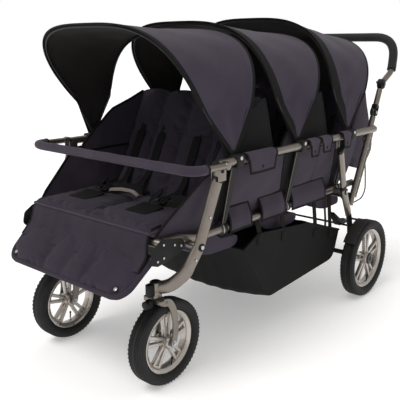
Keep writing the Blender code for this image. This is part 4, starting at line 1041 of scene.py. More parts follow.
for name, side in SIDES.items():
    start, end = at(side * PUSH_X, *JAW), at(side * PUSH_X, *TILT)
    aim = (end - start).normalized()
    lean = -math.atan2(aim.y, aim.z)
    jaw_in, jaw_out = PUSH_X - 0.0056, PUSH_X + 0.0056
    parts = [across(*JAW, side * (jaw_in - 0.005), side * jaw_in, 0.016, 0.001, 36),
             across(*JAW, side * jaw_out, side * (jaw_out + 0.005), 0.016, 0.001, 36),
             block(start + aim * 0.023, (0.0215, 0.026, 0.014), 0.003, lean)]
    for dx in (jaw_in - 0.0025 - PUSH_X, jaw_out + 0.0025 - PUSH_X):
        cheek = start + aim * 0.009 + Vector((side * dx, 0, 0))
        parts.append(block(cheek, (0.005, 0.026, 0.026), 0.0015, lean))
    parts.append(across(*TILT, side * (PUSH_X - 0.0095), side * (PUSH_X - 0.0006), 0.019, 0.0012, 48))
    hub_x = side * (PUSH_X - 0.005)
    tooth = block(at(hub_x, TILT[0], TILT[1] + 0.019), (0.0075, 0.0022, 0.0018), 0.0004, 0, 1)
    parts.append(round_axle(tooth, 24, end, PLASTIC))
    parts.append(rod(at(hub_x, TILT[0] - 0.016, TILT[1] + 0.004), at(hub_x, TILT[0] - 0.026, TILT[1] + 0.009),
                     0.005, 0.0015))
    piece(f"{name}_handle_arm_moulded", merged(*parts), PLASTIC, "handle_arms",
          f"{name}_handle_arm")
    arm = tube([start + aim * 0.024, end - aim * 0.0215], PUSH_R, 28)
    piece(f"{name}_handle_arm_tube", arm, ALUMINIUM, "handle_arms")
    pin = merged(across(*JAW, side * (jaw_out + 0.0045), side * (jaw_out + 0.008), 0.0065, 0.0012),
                 across(*JAW, side * (jaw_in - 0.0045), side * (jaw_in - 0.008), 0.0065, 0.0012))
    piece(f"{name}_handle_jaw_pin", pin, STEEL, "handle_arms")
    button = across(*TILT, side * (PUSH_X + 0.0075), side * (PUSH_X + 0.0165), 0.0095, 0.0018, 40)
    piece(f"{name}_tilt_button_domed", button, GLOSSY, f"{name}_tilt_button",
          f"{name}_tilt_button")
print("handle, arms, jaws and buttons done")

# %% [markdown]
# ## Bumper bar
#
# A padded bar runs across the front row. It lifts on two eyes outside the upper rails. The pad is a foam
# tube with a sewn cover, closed along its underside.

# %% Bumper
BUMPER_X, PAD_R, PAD_START_Y = 0.3465, 0.0133, 0.075
half = at_all([(BUMPER_X, *BUMPER_EYE), (BUMPER_X, 0.023, 0.639), (0.0, 0.015, 0.64)])
near_half = bent(half, 0.045, 12)[:-1]
bumper_path = near_half + far_side(near_half)
eyes = [across(*BUMPER_EYE, side * (BUMPER_X - 0.0095), side * (BUMPER_X + 0.0095), 0.0115, 0.0015, 32)
        for side in (-1, 1)]
bumper = merged(tube(bumper_path, 0.0095, 28), *eyes)
piece("bumper_tube_bent", bumper, ALUMINIUM, "bumper", "bumper_tube")
share = (BUMPER_EYE[0] - PAD_START_Y) / (bumper_path[0].y - bumper_path[1].y)
start = bumper_path[0].lerp(bumper_path[1], share)
pad_path = [start] + bumper_path[1:-1] + far_side([start])
dense = []
for a, b in zip(pad_path, pad_path[1:]):
    count = max(1, int((b - a).length / 0.008))
    dense += [a.lerp(b, k / count) for k in range(count)]
dense.append(pad_path[-1])
pad = tube(dense, PAD_R, 36)
for v in pad.vertices:
    v.co.z += 0.0005 * math.sin(v.co.x * 71.0) * math.sin(v.co.x * 23.0 + 1.0)
    v.co.y += 0.0004 * math.sin(v.co.x * 57.0 + 0.6)
piece("bumper_pad_covered", pad, NAVY, "bumper", "bumper_pad")
seam = [p + Vector((0, 0, -0.0134)) for p in dense[6:-6]]
piece("bumper_pad_seam", tube(seam, 0.0011, 8), BINDING, "bumper")
cuffs = [rod(dense[i] - (dense[i + step] - dense[i]).normalized() * 0.0005, dense[i + step], 0.0139, 0.0015, 36)
         for i, step in ((0, 1), (-1, -1))]
piece("bumper_pad_cuffs", merged(*cuffs), BINDING, "bumper")
print("bumper bar done,", round(sum((b - a).length for a, b in zip(dense, dense[1:])), 2), "m of pad")

# %% [markdown]
# ## Cloth tools
#
# All the covers begin as a grid of points on the outer face. A grid becomes a thin closed sheet, with one
# finish outside and another inside. Its edges are bound with folded tape, and stitches run beside the tape.
# The flat size of each sheet is measured along its grid, because that is the size it was cut to.

# %% Sheets, tape and straps
def unit(vectors):
    """Vectors scaled to length one."""
    return vectors / np.maximum(np.linalg.norm(vectors, axis=-1, keepdims=True), 1e-12)


def normals_of(grid, inside):
    """Unit normals of a grid, turned towards the point called inside."""
    grid = np.asarray(grid, float)
    normal = unit(np.cross(np.gradient(grid, axis=0), np.gradient(grid, axis=1)))
    return -normal if (normal * (np.asarray(inside) - grid)).sum() < 0 else normal


def cloth_mesh(grid, thick, inside, band=0):
    """A thin closed sheet: finish 0 outside, 1 inside, 2 on the outer columns of the band."""
    grid = np.asarray(grid, float)
    return closed_mesh(grid, grid + normals_of(grid, inside) * thick, 1e-5, band)


def flat_size(grid):
    """Width, length and area of a grid laid flat."""
    grid = np.asarray(grid, float)
    rows = np.linalg.norm(np.diff(grid, axis=1), axis=2).sum(axis=1).max()
    columns = np.linalg.norm(np.diff(grid, axis=0), axis=2).sum(axis=0).max()
    a, b, c, d = grid[:-1, :-1], grid[1:, :-1], grid[1:, 1:], grid[:-1, 1:]
    triangles = np.cross(b - a, c - a), np.cross(c - a, d - a)
    area = sum(np.linalg.norm(normal, axis=2) for normal in triangles).sum() / 2
    return float(rows), float(columns), float(area)


def declared(obj, grid):
    width, length, area = flat_size(grid)
    return obj


def border(grid, which="all"):
    """The places of the grid's border points, in order."""
    rows, columns = np.shape(grid)[:2]
    sides = {"first_row": [(0, j) for j in range(columns)],
             "last_column": [(i, columns - 1) for i in range(rows)],
             "last_row": [(rows - 1, j) for j in range(columns - 1, -1, -1)],
             "first_column": [(i, 0) for i in range(rows - 1, -1, -1)]}
    if which == "all":
        first, *others = sides.values()
        return first + [spot for side in others for spot in side[1:]][:-1]
    return sides[which]


def tape(grid, inside, which="all", width=0.007, thick=0.002, over=0.0009):
    """Folded tape over an edge of a sheet, and the line its stitches follow."""
    grid = np.asarray(grid, float)
    normal = normals_of(grid, inside)
    spots = border(grid, which)
    closed = which == "all"
    path, inward = (np.array([values[s] for s in spots]) for values in (grid, normal))
    ahead = unit(np.roll(path, -1, axis=0) - np.roll(path, 1, axis=0) if closed else np.gradient(path, axis=0))
    into = unit(np.cross(inward, ahead))
    rows, columns = grid.shape[:2]
    nearest = np.array([grid[min(max(i, 1), rows - 2), min(max(j, 1), columns - 2)] for i, j in spots])
    if (into * (nearest - path)).sum() < 0:
        into = -into
    low, high = -over, thick + over
    section = [(-over, 0.3 * thick), (-over * 0.6, low * 0.7), (0.0006, low), (width - 0.0004, low),
               (width, low * 0.5), (width, high - over * 0.5), (width - 0.0004, high), (0.0006, high),
               (-over * 0.6, high - over * 0.3), (-over, 0.7 * thick)]
    rings = [[p + d * a + n * b for a, b in section] for p, d, n in zip(path, into, inward)]
    line = [Vector(p + d * (width - 0.0018) + n * (low - 0.0002)) for p, d, n in zip(path, into, inward)]
    return loft(rings, closed, 1e-7), line + line[:1] if closed else line


def strap(path, side, width=0.025, thick=0.0018):
    """Flat webbing along a path; side is the direction across it."""
    side = Vector(side).normalized()
    w, t, soft = width / 2, thick / 2, 0.0008
    section = [(-w, -t * 0.4), (-w + soft, -t), (w - soft, -t), (w, -t * 0.4), (w, t * 0.4), (w - soft, t),
               (-w + soft, t), (-w, t * 0.4)]
    rings = []
    for i, point in enumerate(path):
        ahead = (path[min(i + 1, len(path) - 1)] - path[max(i - 1, 0)]).normalized()
        cross = (side - ahead * side.dot(ahead)).normalized()
        up = ahead.cross(cross)
        rings.append([point + cross * a + up * b for a, b in section])
    return loft(rings, weld=1e-7)


def bound_sheet(name, grid, thick, inside, looks, tape_width, band=0):
    """A sewn panel of the seats, and the tape round its whole edge."""
    panel = piece(name, cloth_mesh(grid, thick, inside, band), looks, "seat_frame", (), 60)
    edge = tape(grid, inside, "all", tape_width, thick)[0]
    return panel, piece(f"{name}_binding", edge, BINDING, "seat_frame")


print("sheet, tape and strap makers ready")

# %% [markdown]
# ## Cushions
#
# The seats and backrests are quilted pads: an outer cover, a filling and seams that hold both faces
# together. Each starts as a closed pillow of even mesh. A short cloth simulation with air pressure puffs it
# up while the seams stay pinned, so the cover wrinkles beside every seam as a sewn pad does. All the pads
# run in one loop, and no point may move further than a few millimetres.

# %% Pads
PAN_HALF, SEAT_PAD_Z = 0.2555, 0.474
BACK_PIVOT, LEAN, BACK_LENGTH, BACK_THICK = (0.27, 0.43), math.radians(26), 0.41, 0.04
FOOT_PIVOT, FOOT_END = (-0.053, 0.406), (-0.155, 0.32)
BACK_SEAMS, SEAT_SEAMS, FOOT_SEAMS, SEAM_WIDTH = (-0.125, 0.0, 0.125), (0.0,), (-0.09, 0.0, 0.09), 0.0095
VOXEL, PAD_CAP = 0.0065, 0.007


def pillow(half_low, half_high, start, end, thick, edge, seams, groove, crown, scallop=0.0, rows=40):
    """Front and rear grids of a quilted pad: x across, y through its thickness (front is -y), z along it."""
    columns = 81
    """Front and rear grids of a quilted pad: x across, y through its thickness (front is -y), z along it."""
    front, rear = np.zeros((rows, columns, 3)), np.zeros((rows, columns, 3))
    for i in range(rows):
        v = i / (rows - 1)
        half = half_low + (half_high - half_low) * v
        for j in range(columns):
            u = 2 * j / (columns - 1) - 1
            x = half * u
            swell = (1 - abs(u) ** 7) * (1 - abs(2 * v - 1) ** 9)
            dip = sum(math.exp(-(((x - s) / SEAM_WIDTH) ** 2)) for s in seams)
            lanes = [-half] + list(seams) + [half]
            lane = next((a, b) for a, b in zip(lanes, lanes[1:]) if x <= b + 1e-9)
            hump = math.sin(math.pi * min(max((x - lane[0]) / (lane[1] - lane[0]), 0), 1)) ** 0.8
            z = start + (end - start) * v + scallop * hump * max(0.0, v - 0.6) / 0.4
            depth = edge / 2 + (thick / 2 - edge / 2) * swell
            front[i, j] = (x, -depth - (crown * hump - groove * dip) * swell, z)
            rear[i, j] = (x, depth + 0.2 * crown * hump * swell, z)
    return front, rear


def stand(pivot_y, pivot_z, lean):
    """From pad space to a back leaning by this angle on its hinge line."""
    return Matrix.Translation(at(0, pivot_y, pivot_z)) @ Matrix.Rotation(-lean, 4, "X")


LAY = Matrix(((1, 0, 0, 0), (0, 0, 1, 0), (0, -1, 0, 0), (0, 0, 0, 1)))
foot_axis = Vector((0, FOOT_END[0] - FOOT_PIVOT[0], FOOT_END[1] - FOOT_PIVOT[1])).normalized()
foot_up = Vector((0, foot_axis.z, -foot_axis.y))
FOOT_TURN = Matrix(((-1, 0, 0, 0), (0, -foot_up.y, foot_axis.y, 0), (0, -foot_up.z, foot_axis.z, 0),
                    (0, 0, 0, 1)))
PADS = []


def plan_pad(name, grids, seams, body, stands_for, place):
    PADS.append(dict(name=name, front=grids[0], rear=grids[1], seams=seams, body=body, stands_for=stands_for,
                     place=place))


for row in range(ROWS):
    y, start = row * PITCH, -0.0505 if row == 0 else 0.046
    grids = pillow(0.243, 0.258, -0.006, BACK_LENGTH - 0.01, BACK_THICK, 0.016, BACK_SEAMS, 0.007, 0.006, 0.010)
    plan_pad(f"backrest_{row + 1}_pad", grids, BACK_SEAMS, f"backrest_{row + 1}", f"backrest_{row + 1}",
             stand(BACK_PIVOT[0] + y, BACK_PIVOT[1], LEAN))
    grids = pillow(PAN_HALF - 0.001, PAN_HALF - 0.001, start, 0.227, 0.026, 0.013, SEAT_SEAMS, 0.007, 0.004, rows=32)
    plan_pad(f"seat_{row + 1}_pad", grids, SEAT_SEAMS, "seat_frame", f"seat_{row + 1}",
             Matrix.Translation(at(0, y, SEAT_PAD_Z)) @ LAY)
grids = pillow(0.271, 0.256, -0.013, 0.1315, 0.020, 0.010, FOOT_SEAMS, 0.0022, 0.002, rows=32)
for line in [line for sheet in grids for line in sheet]:
    reach = max(0.0, (line[0][2] - 0.0865) / 0.045)
    line[:, 0] *= 1 - 0.16 * (1 - math.sqrt(1 - min(reach, 1.0) ** 2))
plan_pad("footrest_pad", grids, FOOT_SEAMS, "footrest", "footrest",
         Matrix.Translation(at(0, *FOOT_PIVOT)) @ FOOT_TURN)


def points_of(mesh):
    flat = np.zeros(len(mesh.vertices) * 3)
    mesh.vertices.foreach_get("co", flat)
    return flat.reshape(-1, 3)


def puff(obj, held, **wanted):
    """Pins the held points and fills the cover with air."""
    obj.vertex_groups.new(name="seams").add([int(i) for i in np.flatnonzero(held)], 1.0, "REPLACE")
    cloth = obj.modifiers.new("cloth", "CLOTH")
    for key, value in dict(quality=5, use_pressure=True, vertex_group_mass="seams", **wanted).items():
        setattr(cloth.settings, key, value)
    cloth.settings.effector_weights.gravity = 0
    cloth.point_cache.frame_start, cloth.point_cache.frame_end = 1, 20
    cloth.collision_settings.use_collision = False


def hold_back(mesh, before, cap):
    """Moves each point back to at most cap from where it began, and gives the longest way one had gone."""
    moved = points_of(mesh) - before
    length = np.maximum(np.linalg.norm(moved, axis=1, keepdims=True), 1e-9)
    mesh.vertices.foreach_set("co", (before + moved * np.minimum(1, cap / length)).ravel())
    mesh.update()
    return float(length.max())


def start_cloth(pad):
    """The pad's even closed mesh with its cloth. The seams, the border and the back are pinned."""
    mesh = modified(closed_mesh(pad["front"], pad["rear"]),
                    ("REMESH", {"mode": "VOXEL", "voxel_size": VOXEL, "adaptivity": 0.0}))
    points = points_of(mesh)
    low, high = points.min(axis=0), points.max(axis=0)
    held = (np.abs(points[:, 0]) > high[0] - 0.008) | (points[:, 2] < low[2] + 0.006)
    for s in pad["seams"]:
        held |= np.abs(points[:, 0] - s) < 0.0045
    held |= points[:, 1] > 0.35 * high[1]
    pad.update(obj=link(pad["name"] + "_work", mesh), before=points)
    puff(pad["obj"], held, mass=0.3, tension_stiffness=12, compression_stiffness=12, shear_stiffness=5,
         bending_stiffness=0.3, uniform_pressure_force=4, shrink_min=-0.05)


def finish_cloth(pad):
    """The puffed pad in its place: quilted navy in front, black behind."""
    mesh = harvest(pad["obj"])
    moved = hold_back(mesh, pad["before"], PAD_CAP)
    mesh.materials.clear()
    for look in (NAVY_PAD, BLACK_CLOTH):
        mesh.materials.append(look)
    for face in mesh.polygons:
        face.material_index = 1 if face.center.y > 0.004 and face.normal.y > 0.3 else 0
    mesh = smoothed(mesh)
    mesh.transform(pad["place"])
    obj = piece(pad["name"], mesh, list(mesh.materials), pad["body"], pad["stands_for"], 60)
    return moved


for pad in PADS:
    start_cloth(pad)
print(len(PADS), "pads of", sum(len(p["before"]) for p in PADS), "points")

# %% [markdown]
# The rear backrest carries a deep bag behind it. Its shape is a fold of cloth over its filling, so it joins
# the same simulation with a softer pressure.

# %% The bag behind the rear backrest
BAG_HALF, BAG_SEAM_Z, BAG_CAP = 0.248, 0.676, 0.009
bag_outline = [(1.139, 0.797), (1.171, 0.773), (1.219, 0.676), (1.264, 0.555), (1.258, 0.523), (1.232, 0.496),
               (1.148, 0.461), (1.045, 0.55)]
bag = modified(slab(rounded(bag_outline, 0.03, 5), -BAG_HALF, BAG_HALF, 0.012, 3),
               ("REMESH", {"mode": "VOXEL", "voxel_size": 0.009, "adaptivity": 0.0}))
bag_before = points_of(bag)
held = np.abs(np.abs(bag_before[:, 0]) - BAG_HALF) < 0.006
held |= np.abs(bag_before[:, 2] - BAG_SEAM_Z) < 0.005
bag_work = link("bag_work", bag)
puff(bag_work, held, bending_stiffness=0.2, uniform_pressure_force=1.5, shrink_min=-0.07)
for frame_number in range(1, 21):
    bpy.context.scene.frame_set(frame_number)

moved = [finish_cloth(pad) for pad in PADS]
bag = harvest(bag_work)
hold_back(bag, bag_before, BAG_CAP)
bag_piece = piece("rear_bag", smoothed(bag), NAVY, "backrest_3", (), 60)
print("pads puffed by up to", round(max(moved) * 1000, 1), "mm before the cap")

# %% [markdown]
# ## Seams of the backrests and seats
#
# A quilted seam shows as a dark line of thread in its groove, and the pad's edge is closed with piping.

# %% Piping and quilting stitches
def on_back(row, x, depth, along):
    """A point on a backrest: depth in front of its middle, distance up from the hinge."""
    return stand(BACK_PIVOT[0] + row * PITCH, BACK_PIVOT[1], LEAN) @ Vector((x, -depth, along))


def pad_edge(pad):
    """The line halfway round the side of a pad, in its place."""
    grid = (pad["front"] + pad["rear"]) / 2
    return [pad["place"] @ Vector(grid[spot]) for spot in border(grid)]


for row in range(ROWS):
    back_name, back_edge, seat_edge = f"backrest_{row + 1}", pad_edge(PADS[2 * row]), pad_edge(PADS[2 * row + 1])
    piece(f"{back_name}_piping", tube(back_edge + back_edge[:1], 0.0042, 10), BINDING, back_name)
    lines = []
    for s in BACK_SEAMS:
        path = [on_back(row, s, 0.0155, 0.02 + (BACK_LENGTH - 0.05) * k / 30) for k in range(31)]
        lines.append(stitched(path, THREAD, 0.009, 0.006, 0.0008))
    piece(f"{back_name}_stitches", merged(*lines), THREAD, back_name)
    painted_edge_highlight = tube(seat_edge + seat_edge[:1], 0.0036, 10)
    piece(f"seat_{row + 1}_piping", painted_edge_highlight, NAVY, "seat_frame")
print("pads piped and stitched")

# %% [markdown]
# ## Seat bases
#
# Under each pad the seat is a stiff base wrapped in plain navy cloth, hanging a little between the rails.

# %% Bases
for row in range(ROWS):
    y = row * PITCH
    belly = [(0.03, 0.462), (0.07, 0.405), (0.15, 0.362), (0.2, 0.351), (0.3, 0.347), (0.332, 0.354),
             (0.335, 0.38), (0.25, 0.388), (0.228, 0.405), (0.222, 0.462)]
    if row > 0:
        belly[0], belly[1] = (0.06, 0.462), (0.085, 0.405)
    if row == ROWS - 1:
        belly = [(min(py, 0.3), pz) for py, pz in belly if py != 0.3]
    section = rounded(belly, 0.02, 4)
    rings = []
    for k in range(33):
        u = 1 - k / 16
        swell = 0.0035 * math.sin(math.pi * (u + 1) * 2.5) * (1 - u * u)
        rings.append([at(0.2525 * u, y + py, pz + swell * (0.46 - pz) / 0.11) for py, pz in section])
    base = piece(f"seat_{row + 1}_base", loft(rings), NAVY, "seat_frame")
print("three seat bases")

# %% [markdown]
# ## Side curtains, wings and flaps
#
# One long panel a side closes the seats between the rails. It is held at the struts and swells a little
# between them. Its upper edge is bound in black, and short flaps fold out over the upper and lower rails.

# %% Side panels
WALL_LOW, WALL_TOP = 0.444, 0.62
CURTAIN_START, CURTAIN_LENGTH, CURTAIN_ROWS, CURTAIN_SEAM_Y = -0.035, 1.05, 210, 0.735


def wall_x(z):
    return 0.2545 + (z - WALL_LOW) * 0.2585


def curtain_x(y, z, t):
    """How far out the side cloth hangs: it swells between the struts and has a few long, low folds."""
    bay = abs(math.sin(math.pi * (y - FIRST_STRUT) / PITCH)) ** 0.8
    hump = math.sin(math.pi * t)
    fold = 0.0009 * math.sin(31 * y + 26 * z) * hump + 0.0006 * math.sin(47 * y - 61 * z + 1.3) * t * (1 - t) * 4
    seam = -0.002 * math.exp(-(((y - CURTAIN_SEAM_Y) / 0.004) ** 2))
    return wall_x(z) + 0.0045 * bay * hump + fold + seam


def wall_top(y):
    return float(np.interp(y, (-0.035, 0.0, 0.12, 0.165), (0.462, 0.5, 0.6, WALL_TOP)))


inside = at(0, 0.5, 0.53)
for name, side in SIDES.items():
    grid = []
    for i in range(CURTAIN_ROWS + 1):
        y = CURTAIN_START + CURTAIN_LENGTH * i / CURTAIN_ROWS
        heights = [WALL_LOW + (wall_top(y) - WALL_LOW) * (k / 24) for k in range(25)]
        grid.append([at(side * curtain_x(y, z, k / 24), y, z) for k, z in enumerate(heights)])
    curtain = piece(f"{name}_side_curtain", cloth_mesh(grid, 0.0022, inside), (NAVY, NAVY), "seat_frame",
                    (), 60)
    top_tape, top_line = tape(grid, inside, "last_column")
    front_tape, front_line = tape(grid, inside, "first_row")
    bindings = piece(f"{name}_curtain_binding", merged(top_tape, front_tape), BINDING, "seat_frame")
    seam_row = int(round((CURTAIN_SEAM_Y - CURTAIN_START) / CURTAIN_LENGTH * CURTAIN_ROWS)) - 1
    seam_path = [p + Vector((side * 0.0009, 0, 0)) for p in grid[seam_row]]
    rows_of_thread = merged(stitched(seam_path, THREAD, 0.006), stitched(top_line, THREAD),
                            stitched(front_line, THREAD))
    seams = piece(f"{name}_curtain_stitches", rows_of_thread, THREAD, "seat_frame")
    declared(curtain, grid)
    for row in range(ROWS):
        grid = []
        for k in range(21):
            t = k / 20
            z = WALL_LOW + 0.004 + (WALL_TOP - WALL_LOW - 0.008) * t
            rear = FIRST_STRUT + row * PITCH + 0.01
            front = rear - 0.034 - 0.042 * t
            share = (z - WALL_LOW) / (WALL_TOP - WALL_LOW)
            grid.append([at(side * (curtain_x(y, z, share) + 0.0026), y, z)
                         for y in (front + (rear - front) * m / 10 for m in range(11))])
        gusset = piece(f"{name}_gusset_{row + 1}", cloth_mesh(grid, 0.0018, inside), (BLACK_CLOTH, BLACK_CLOTH),
                       "seat_frame", (), 60)
        declared(gusset, grid)

# %% Flaps over the upper rails
FLAPS = ((0.262, 0.412, 0.592), (0.6, 0.67, 0.595), (0.678, 0.75, 0.6), (0.824, 0.893, 0.597))
SEAT_Z, FLAP_CORNER = UPPER_Z + RAIL_R + 0.0004, 0.014
for name, side in SIDES.items():
    for row, (y0, y1, low) in enumerate(FLAPS):
        section = [(0.2965, 0.612), (0.3035, 0.63), (0.306, 0.6465), (0.3135, SEAT_Z + 0.003),
                   (0.322, SEAT_Z + 0.0042), (0.3315, SEAT_Z + 0.003), (0.3398, 0.648), (0.3414, 0.633), (0.3414, low)]
        path = bent([(x, 0, z) for x, z in section], 0.012, 3)
        grid = []
        for k in range(26):
            t, line = k / 25, []
            for m, p in enumerate(path):
                s = m / (len(path) - 1)
                corner = FLAP_CORNER * (1 - math.sqrt(1 - max(0.0, (s - 0.84) / 0.16) ** 2 * 0.999))
                y = y0 + corner + (y1 - y0 - 2 * corner) * t
                droop = 0.0007 * math.sin(7 * t + row) * s
                line.append(at(side * (p.x + droop), y, p.z - 0.0015 * math.sin(math.pi * t) * (s > 0.9)))
            grid.append(line)
        middle, tag = (y0 + y1) / 2, f"{name}_rail_flap_{row + 1}"
        flap, bound = bound_sheet(tag, grid, 0.0018, at(side * 0.322, middle, 0.6), (NAVY, NAVY), 0.0065)
        snap = rod(at(side * 0.3412, middle, low + 0.016), at(side * 0.3434, middle, low + 0.016), 0.0048, 0.0009)
        button = piece(f"{tag}_snap", snap, PLASTIC, "seat_frame")
        declared(flap, grid)

# %% Flaps over the lower rails, and the wings beside the heads
LOWER_FLAPS = ((0.256, 0.366), (0.418, 0.556), (0.596, 0.819))
LOWER_FOLD = ((0.2665, 0.487), (0.2745, 0.47), (0.282, 0.452), (0.2848, 0.437), (0.285, 0.409))
WING = ((0.165, 0.626), (0.22, 0.683), (0.3, 0.742), (0.375, 0.768), (0.44, 0.795), (0.452, 0.787), (0.464, 0.64))
WING_START, WING_LENGTH, WING_FOOT_Z = 0.1665, 0.2975, 0.6
for name, side in SIDES.items():
    for row, (y0, y1) in enumerate(LOWER_FLAPS):
        section = bent([(x, 0, z) for x, z in LOWER_FOLD], 0.012, 4)
        grid = []
        for k in range(24):
            t = k / 23
            ripple = 0.0008 * math.sin(9 * t + 2 * row)
            grid.append([at(side * (p.x + ripple * m / len(section)), y0 + (y1 - y0) * t, p.z)
                         for m, p in enumerate(section)])
        flap, bound = bound_sheet(f"{name}_lower_flap_{row + 1}", grid, 0.0018,
                                  at(side * 0.26, (y0 + y1) / 2, 0.43), (NAVY, NAVY), 0.0065)
        declared(flap, grid)
    for row in range(ROWS - 1):
        grid = []
        for m in range(17):
            t, line = m / 16, []
            for k in range(37):
                y = WING_START + WING_LENGTH * k / 36
                top = float(np.interp(y, [p[0] for p in WING], [p[1] for p in WING]))
                tuck = 0.008 * (0.5 + 0.5 * math.tanh((0.262 - y) / 0.015))
                z = WING_FOOT_Z + (top - WING_FOOT_Z) * t
                swell = 0.003 * math.sin(math.pi * t) * math.sin(math.pi * k / 36)
                line.append(at(side * (0.2935 - 0.145 * (z - WING_FOOT_Z) + swell - tuck), y + row * PITCH, z))
            grid.append(line)
        wing, bound = bound_sheet(f"{name}_wing_{row + 1}", grid, 0.0026, at(0, 0.37 + row * PITCH, 0.65),
                                  (BLACK_CLOTH, NAVY, NAVY), 0.0075, 12)
        declared(wing, grid)

# %% The roll over the knee tube
foot = PADS[-1]["place"]
section = bent(at_all([(0, 0.0, 0.4875), (0, -0.034, 0.484), (0, -0.055, 0.4675), (0, -0.0615, 0.437)])
               + [foot @ Vector((0, -0.016, 0.004)), foot @ Vector((0, -0.0115, 0.05))], 0.035, 6)
grid = []
for k in range(61):
    u = 2 * k / 60 - 1
    ripple = 0.0012 * math.sin(21 * u) * math.sin(8 * u + 1)
    grid.append([Vector(((0.2505 + 0.0135 * m / len(section)) * u, p.y - ripple * m / len(section),
                         p.z + ripple * 0.4)) for m, p in enumerate(section)])
inside = at(0, 0.0, 0.42)
roll = piece("knee_roll", cloth_mesh(grid, 0.0022, inside), (NAVY_PAD, NAVY_PAD), None, (), 60)
edge = merged(*[tape(grid, inside, which, 0.006, 0.0022)[0] for which in ("first_row", "last_row")])
bound = piece("knee_roll_binding", edge, BINDING, None)
for obj in (roll, bound):
    at(0, -0.045, 0.455)
    at(0, -0.078, 0.4)
    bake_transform(obj)
declared(roll, grid)
ring = pad_edge(PADS[-1])
piece("footrest_rolled_edge", tube(ring[80:] + ring[:1], 0.0075, 16), NAVY_PAD, "footrest")
snaps = [rod(foot @ Vector((x, -0.009, 0.112)), foot @ Vector((x, -0.0135, 0.112)), 0.0055, 0.001)
         for x in (-0.225, 0.225)]
hinge_rod = merged(across(*FOOT_PIVOT, -0.286, 0.286, 0.0055), *snaps)
piece("footrest_hinge_rod", hinge_rod, STEEL, "footrest")

# %% [markdown]
# ## Harnesses
#
# Six children sit side by side in pairs, each in a five-point harness: two shoulder straps, two lap straps
# and a crotch strap meet at one buckle. The shoulder straps bend where the backrest reclines.

# %% Straps and buckles
CHILD_X, STRAP_WIDTH = 0.128, 0.024


def smooth_path(points, count=26):
    """A smooth line through a few points."""
    points = np.asarray([tuple(p) for p in points], float)
    steps = np.concatenate(([0], np.cumsum(np.linalg.norm(np.diff(points, axis=0), axis=1))))
    fine = np.linspace(0, steps[-1], count)
    line = np.stack([np.interp(fine, steps, points[:, a]) for a in range(3)], axis=1)
    for _ in range(4):
        line[1:-1] = (line[:-2] + line[1:-1] * 2 + line[2:]) / 4
    return [Vector(p) for p in line]


def shoulder_strap(row, x, dx):
    """From the slot in the back over its pad and down to the buckle, with a sleeve on the upper half."""
    y = row * PITCH
    points = [on_back(row, x + dx, 0.012, 0.315), on_back(row, x + dx, 0.0285, 0.31),
              on_back(row, x + dx, 0.031, 0.24), on_back(row, x + dx * 0.95, 0.033, 0.12),
              on_back(row, x + dx * 0.8, 0.05, 0.06), at(x + dx * 0.55, 0.17 + y, 0.502),
              at(x + dx * 0.3, 0.124 + y, 0.506)]
    sleeve = [on_back(row, x + dx, 0.0335, 0.25 - 0.13 * k / 8) for k in range(9)]
    return [strap(smooth_path(points, 40), (1, 0, 0), STRAP_WIDTH),
            smoothed(strap(sleeve, (1, 0, 0), 0.034, 0.007))]


def lap_strap(row, x, end):
    """From the side of the seat over the hip pad to the buckle."""
    y = row * PITCH
    points = [at(x + end * dx, py + y, z) for dx, py, z in
              ((0.108, 0.222, 0.484), (0.1, 0.2, 0.4925), (0.07, 0.15, 0.498), (0.03, 0.122, 0.504),
               (0.012, 0.116, 0.506))]
    hip = [at(x + end * (0.1 - 0.066 * k / 8), 0.204 - 0.074 * k / 8 + y, 0.4985 + 0.0085 * k / 8)
           for k in range(9)]
    return [strap(smooth_path(points), (0, 0.55, 0.5), STRAP_WIDTH),
            smoothed(strap(hip, (0, 0.8, 0.35), 0.056, 0.009))]


def crotch_strap(row, x):
    """From the front of the seat up to the buckle, over its soft pad."""
    y, first = row * PITCH, 0.012 if row == 0 else 0.052
    points = [at(x, py + y, z) for py, z in ((0.075, 0.483), (0.078, 0.4905), (0.094, 0.498), (0.108, 0.505))]
    pad = [at(x, first + (0.098 - first) * k / 8 + y, 0.4955 + 0.008 * (k / 8) ** 2) for k in range(9)]
    return [strap(smooth_path(points), (1, 0, 0), STRAP_WIDTH), smoothed(strap(pad, (1, 0, 0), 0.085, 0.01))]


for row in range(ROWS):
    y = row * PITCH
    for x in (-CHILD_X, CHILD_X):
        tag = f"{'left' if x > 0 else 'right'}_child_{row + 1}"
        shoulder = shoulder_strap(row, x, -0.05) + shoulder_strap(row, x, 0.05)
        straps = piece(f"{tag}_shoulder_straps", merged(*shoulder), WEBBING, None)
        f"backrest_{row + 1}"
        at(0, 0.235 + y, 0.5)
        on_back(row, 0, 0.03, 0.13)
        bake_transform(straps)
        lap = lap_strap(row, x, -1) + lap_strap(row, x, 1) + crotch_strap(row, x)
        piece(f"{tag}_lap_straps", merged(*lap), WEBBING, "seat_frame")
        core = block(at(x, 0.112 + y, 0.507), (0.036, 0.042, 0.013), 0.005, 0.25, 4)
        tongues = [block(at(x + end * 0.0185, 0.121 + y, 0.509), (0.014, 0.026, 0.006), 0.002, 0.25)
                   for end in (-1, 1)]
        piece(f"{tag}_buckle", merged(core, *tongues), PLASTIC, "seat_frame")
        press = block(at(x, 0.108 + y, 0.5145), (0.017, 0.019, 0.004), 0.0015, 0.25)
        piece(f"{tag}_buckle_press", press, GLOSSY, "seat_frame")
grey = smooth_path(at_all([(-0.118, 0.128, 0.497), (-0.1, 0.124, 0.508), (-0.04, 0.12, 0.519),
                           (0.015, 0.12, 0.52), (0.03, 0.124, 0.508)]), 30)
piece("pale_loose_strap", strap(grey, (0, 0.6, 0.8), 0.011), PALE_WEBBING_AND_HIGHLIGHT, "seat_frame")
print("six harnesses")
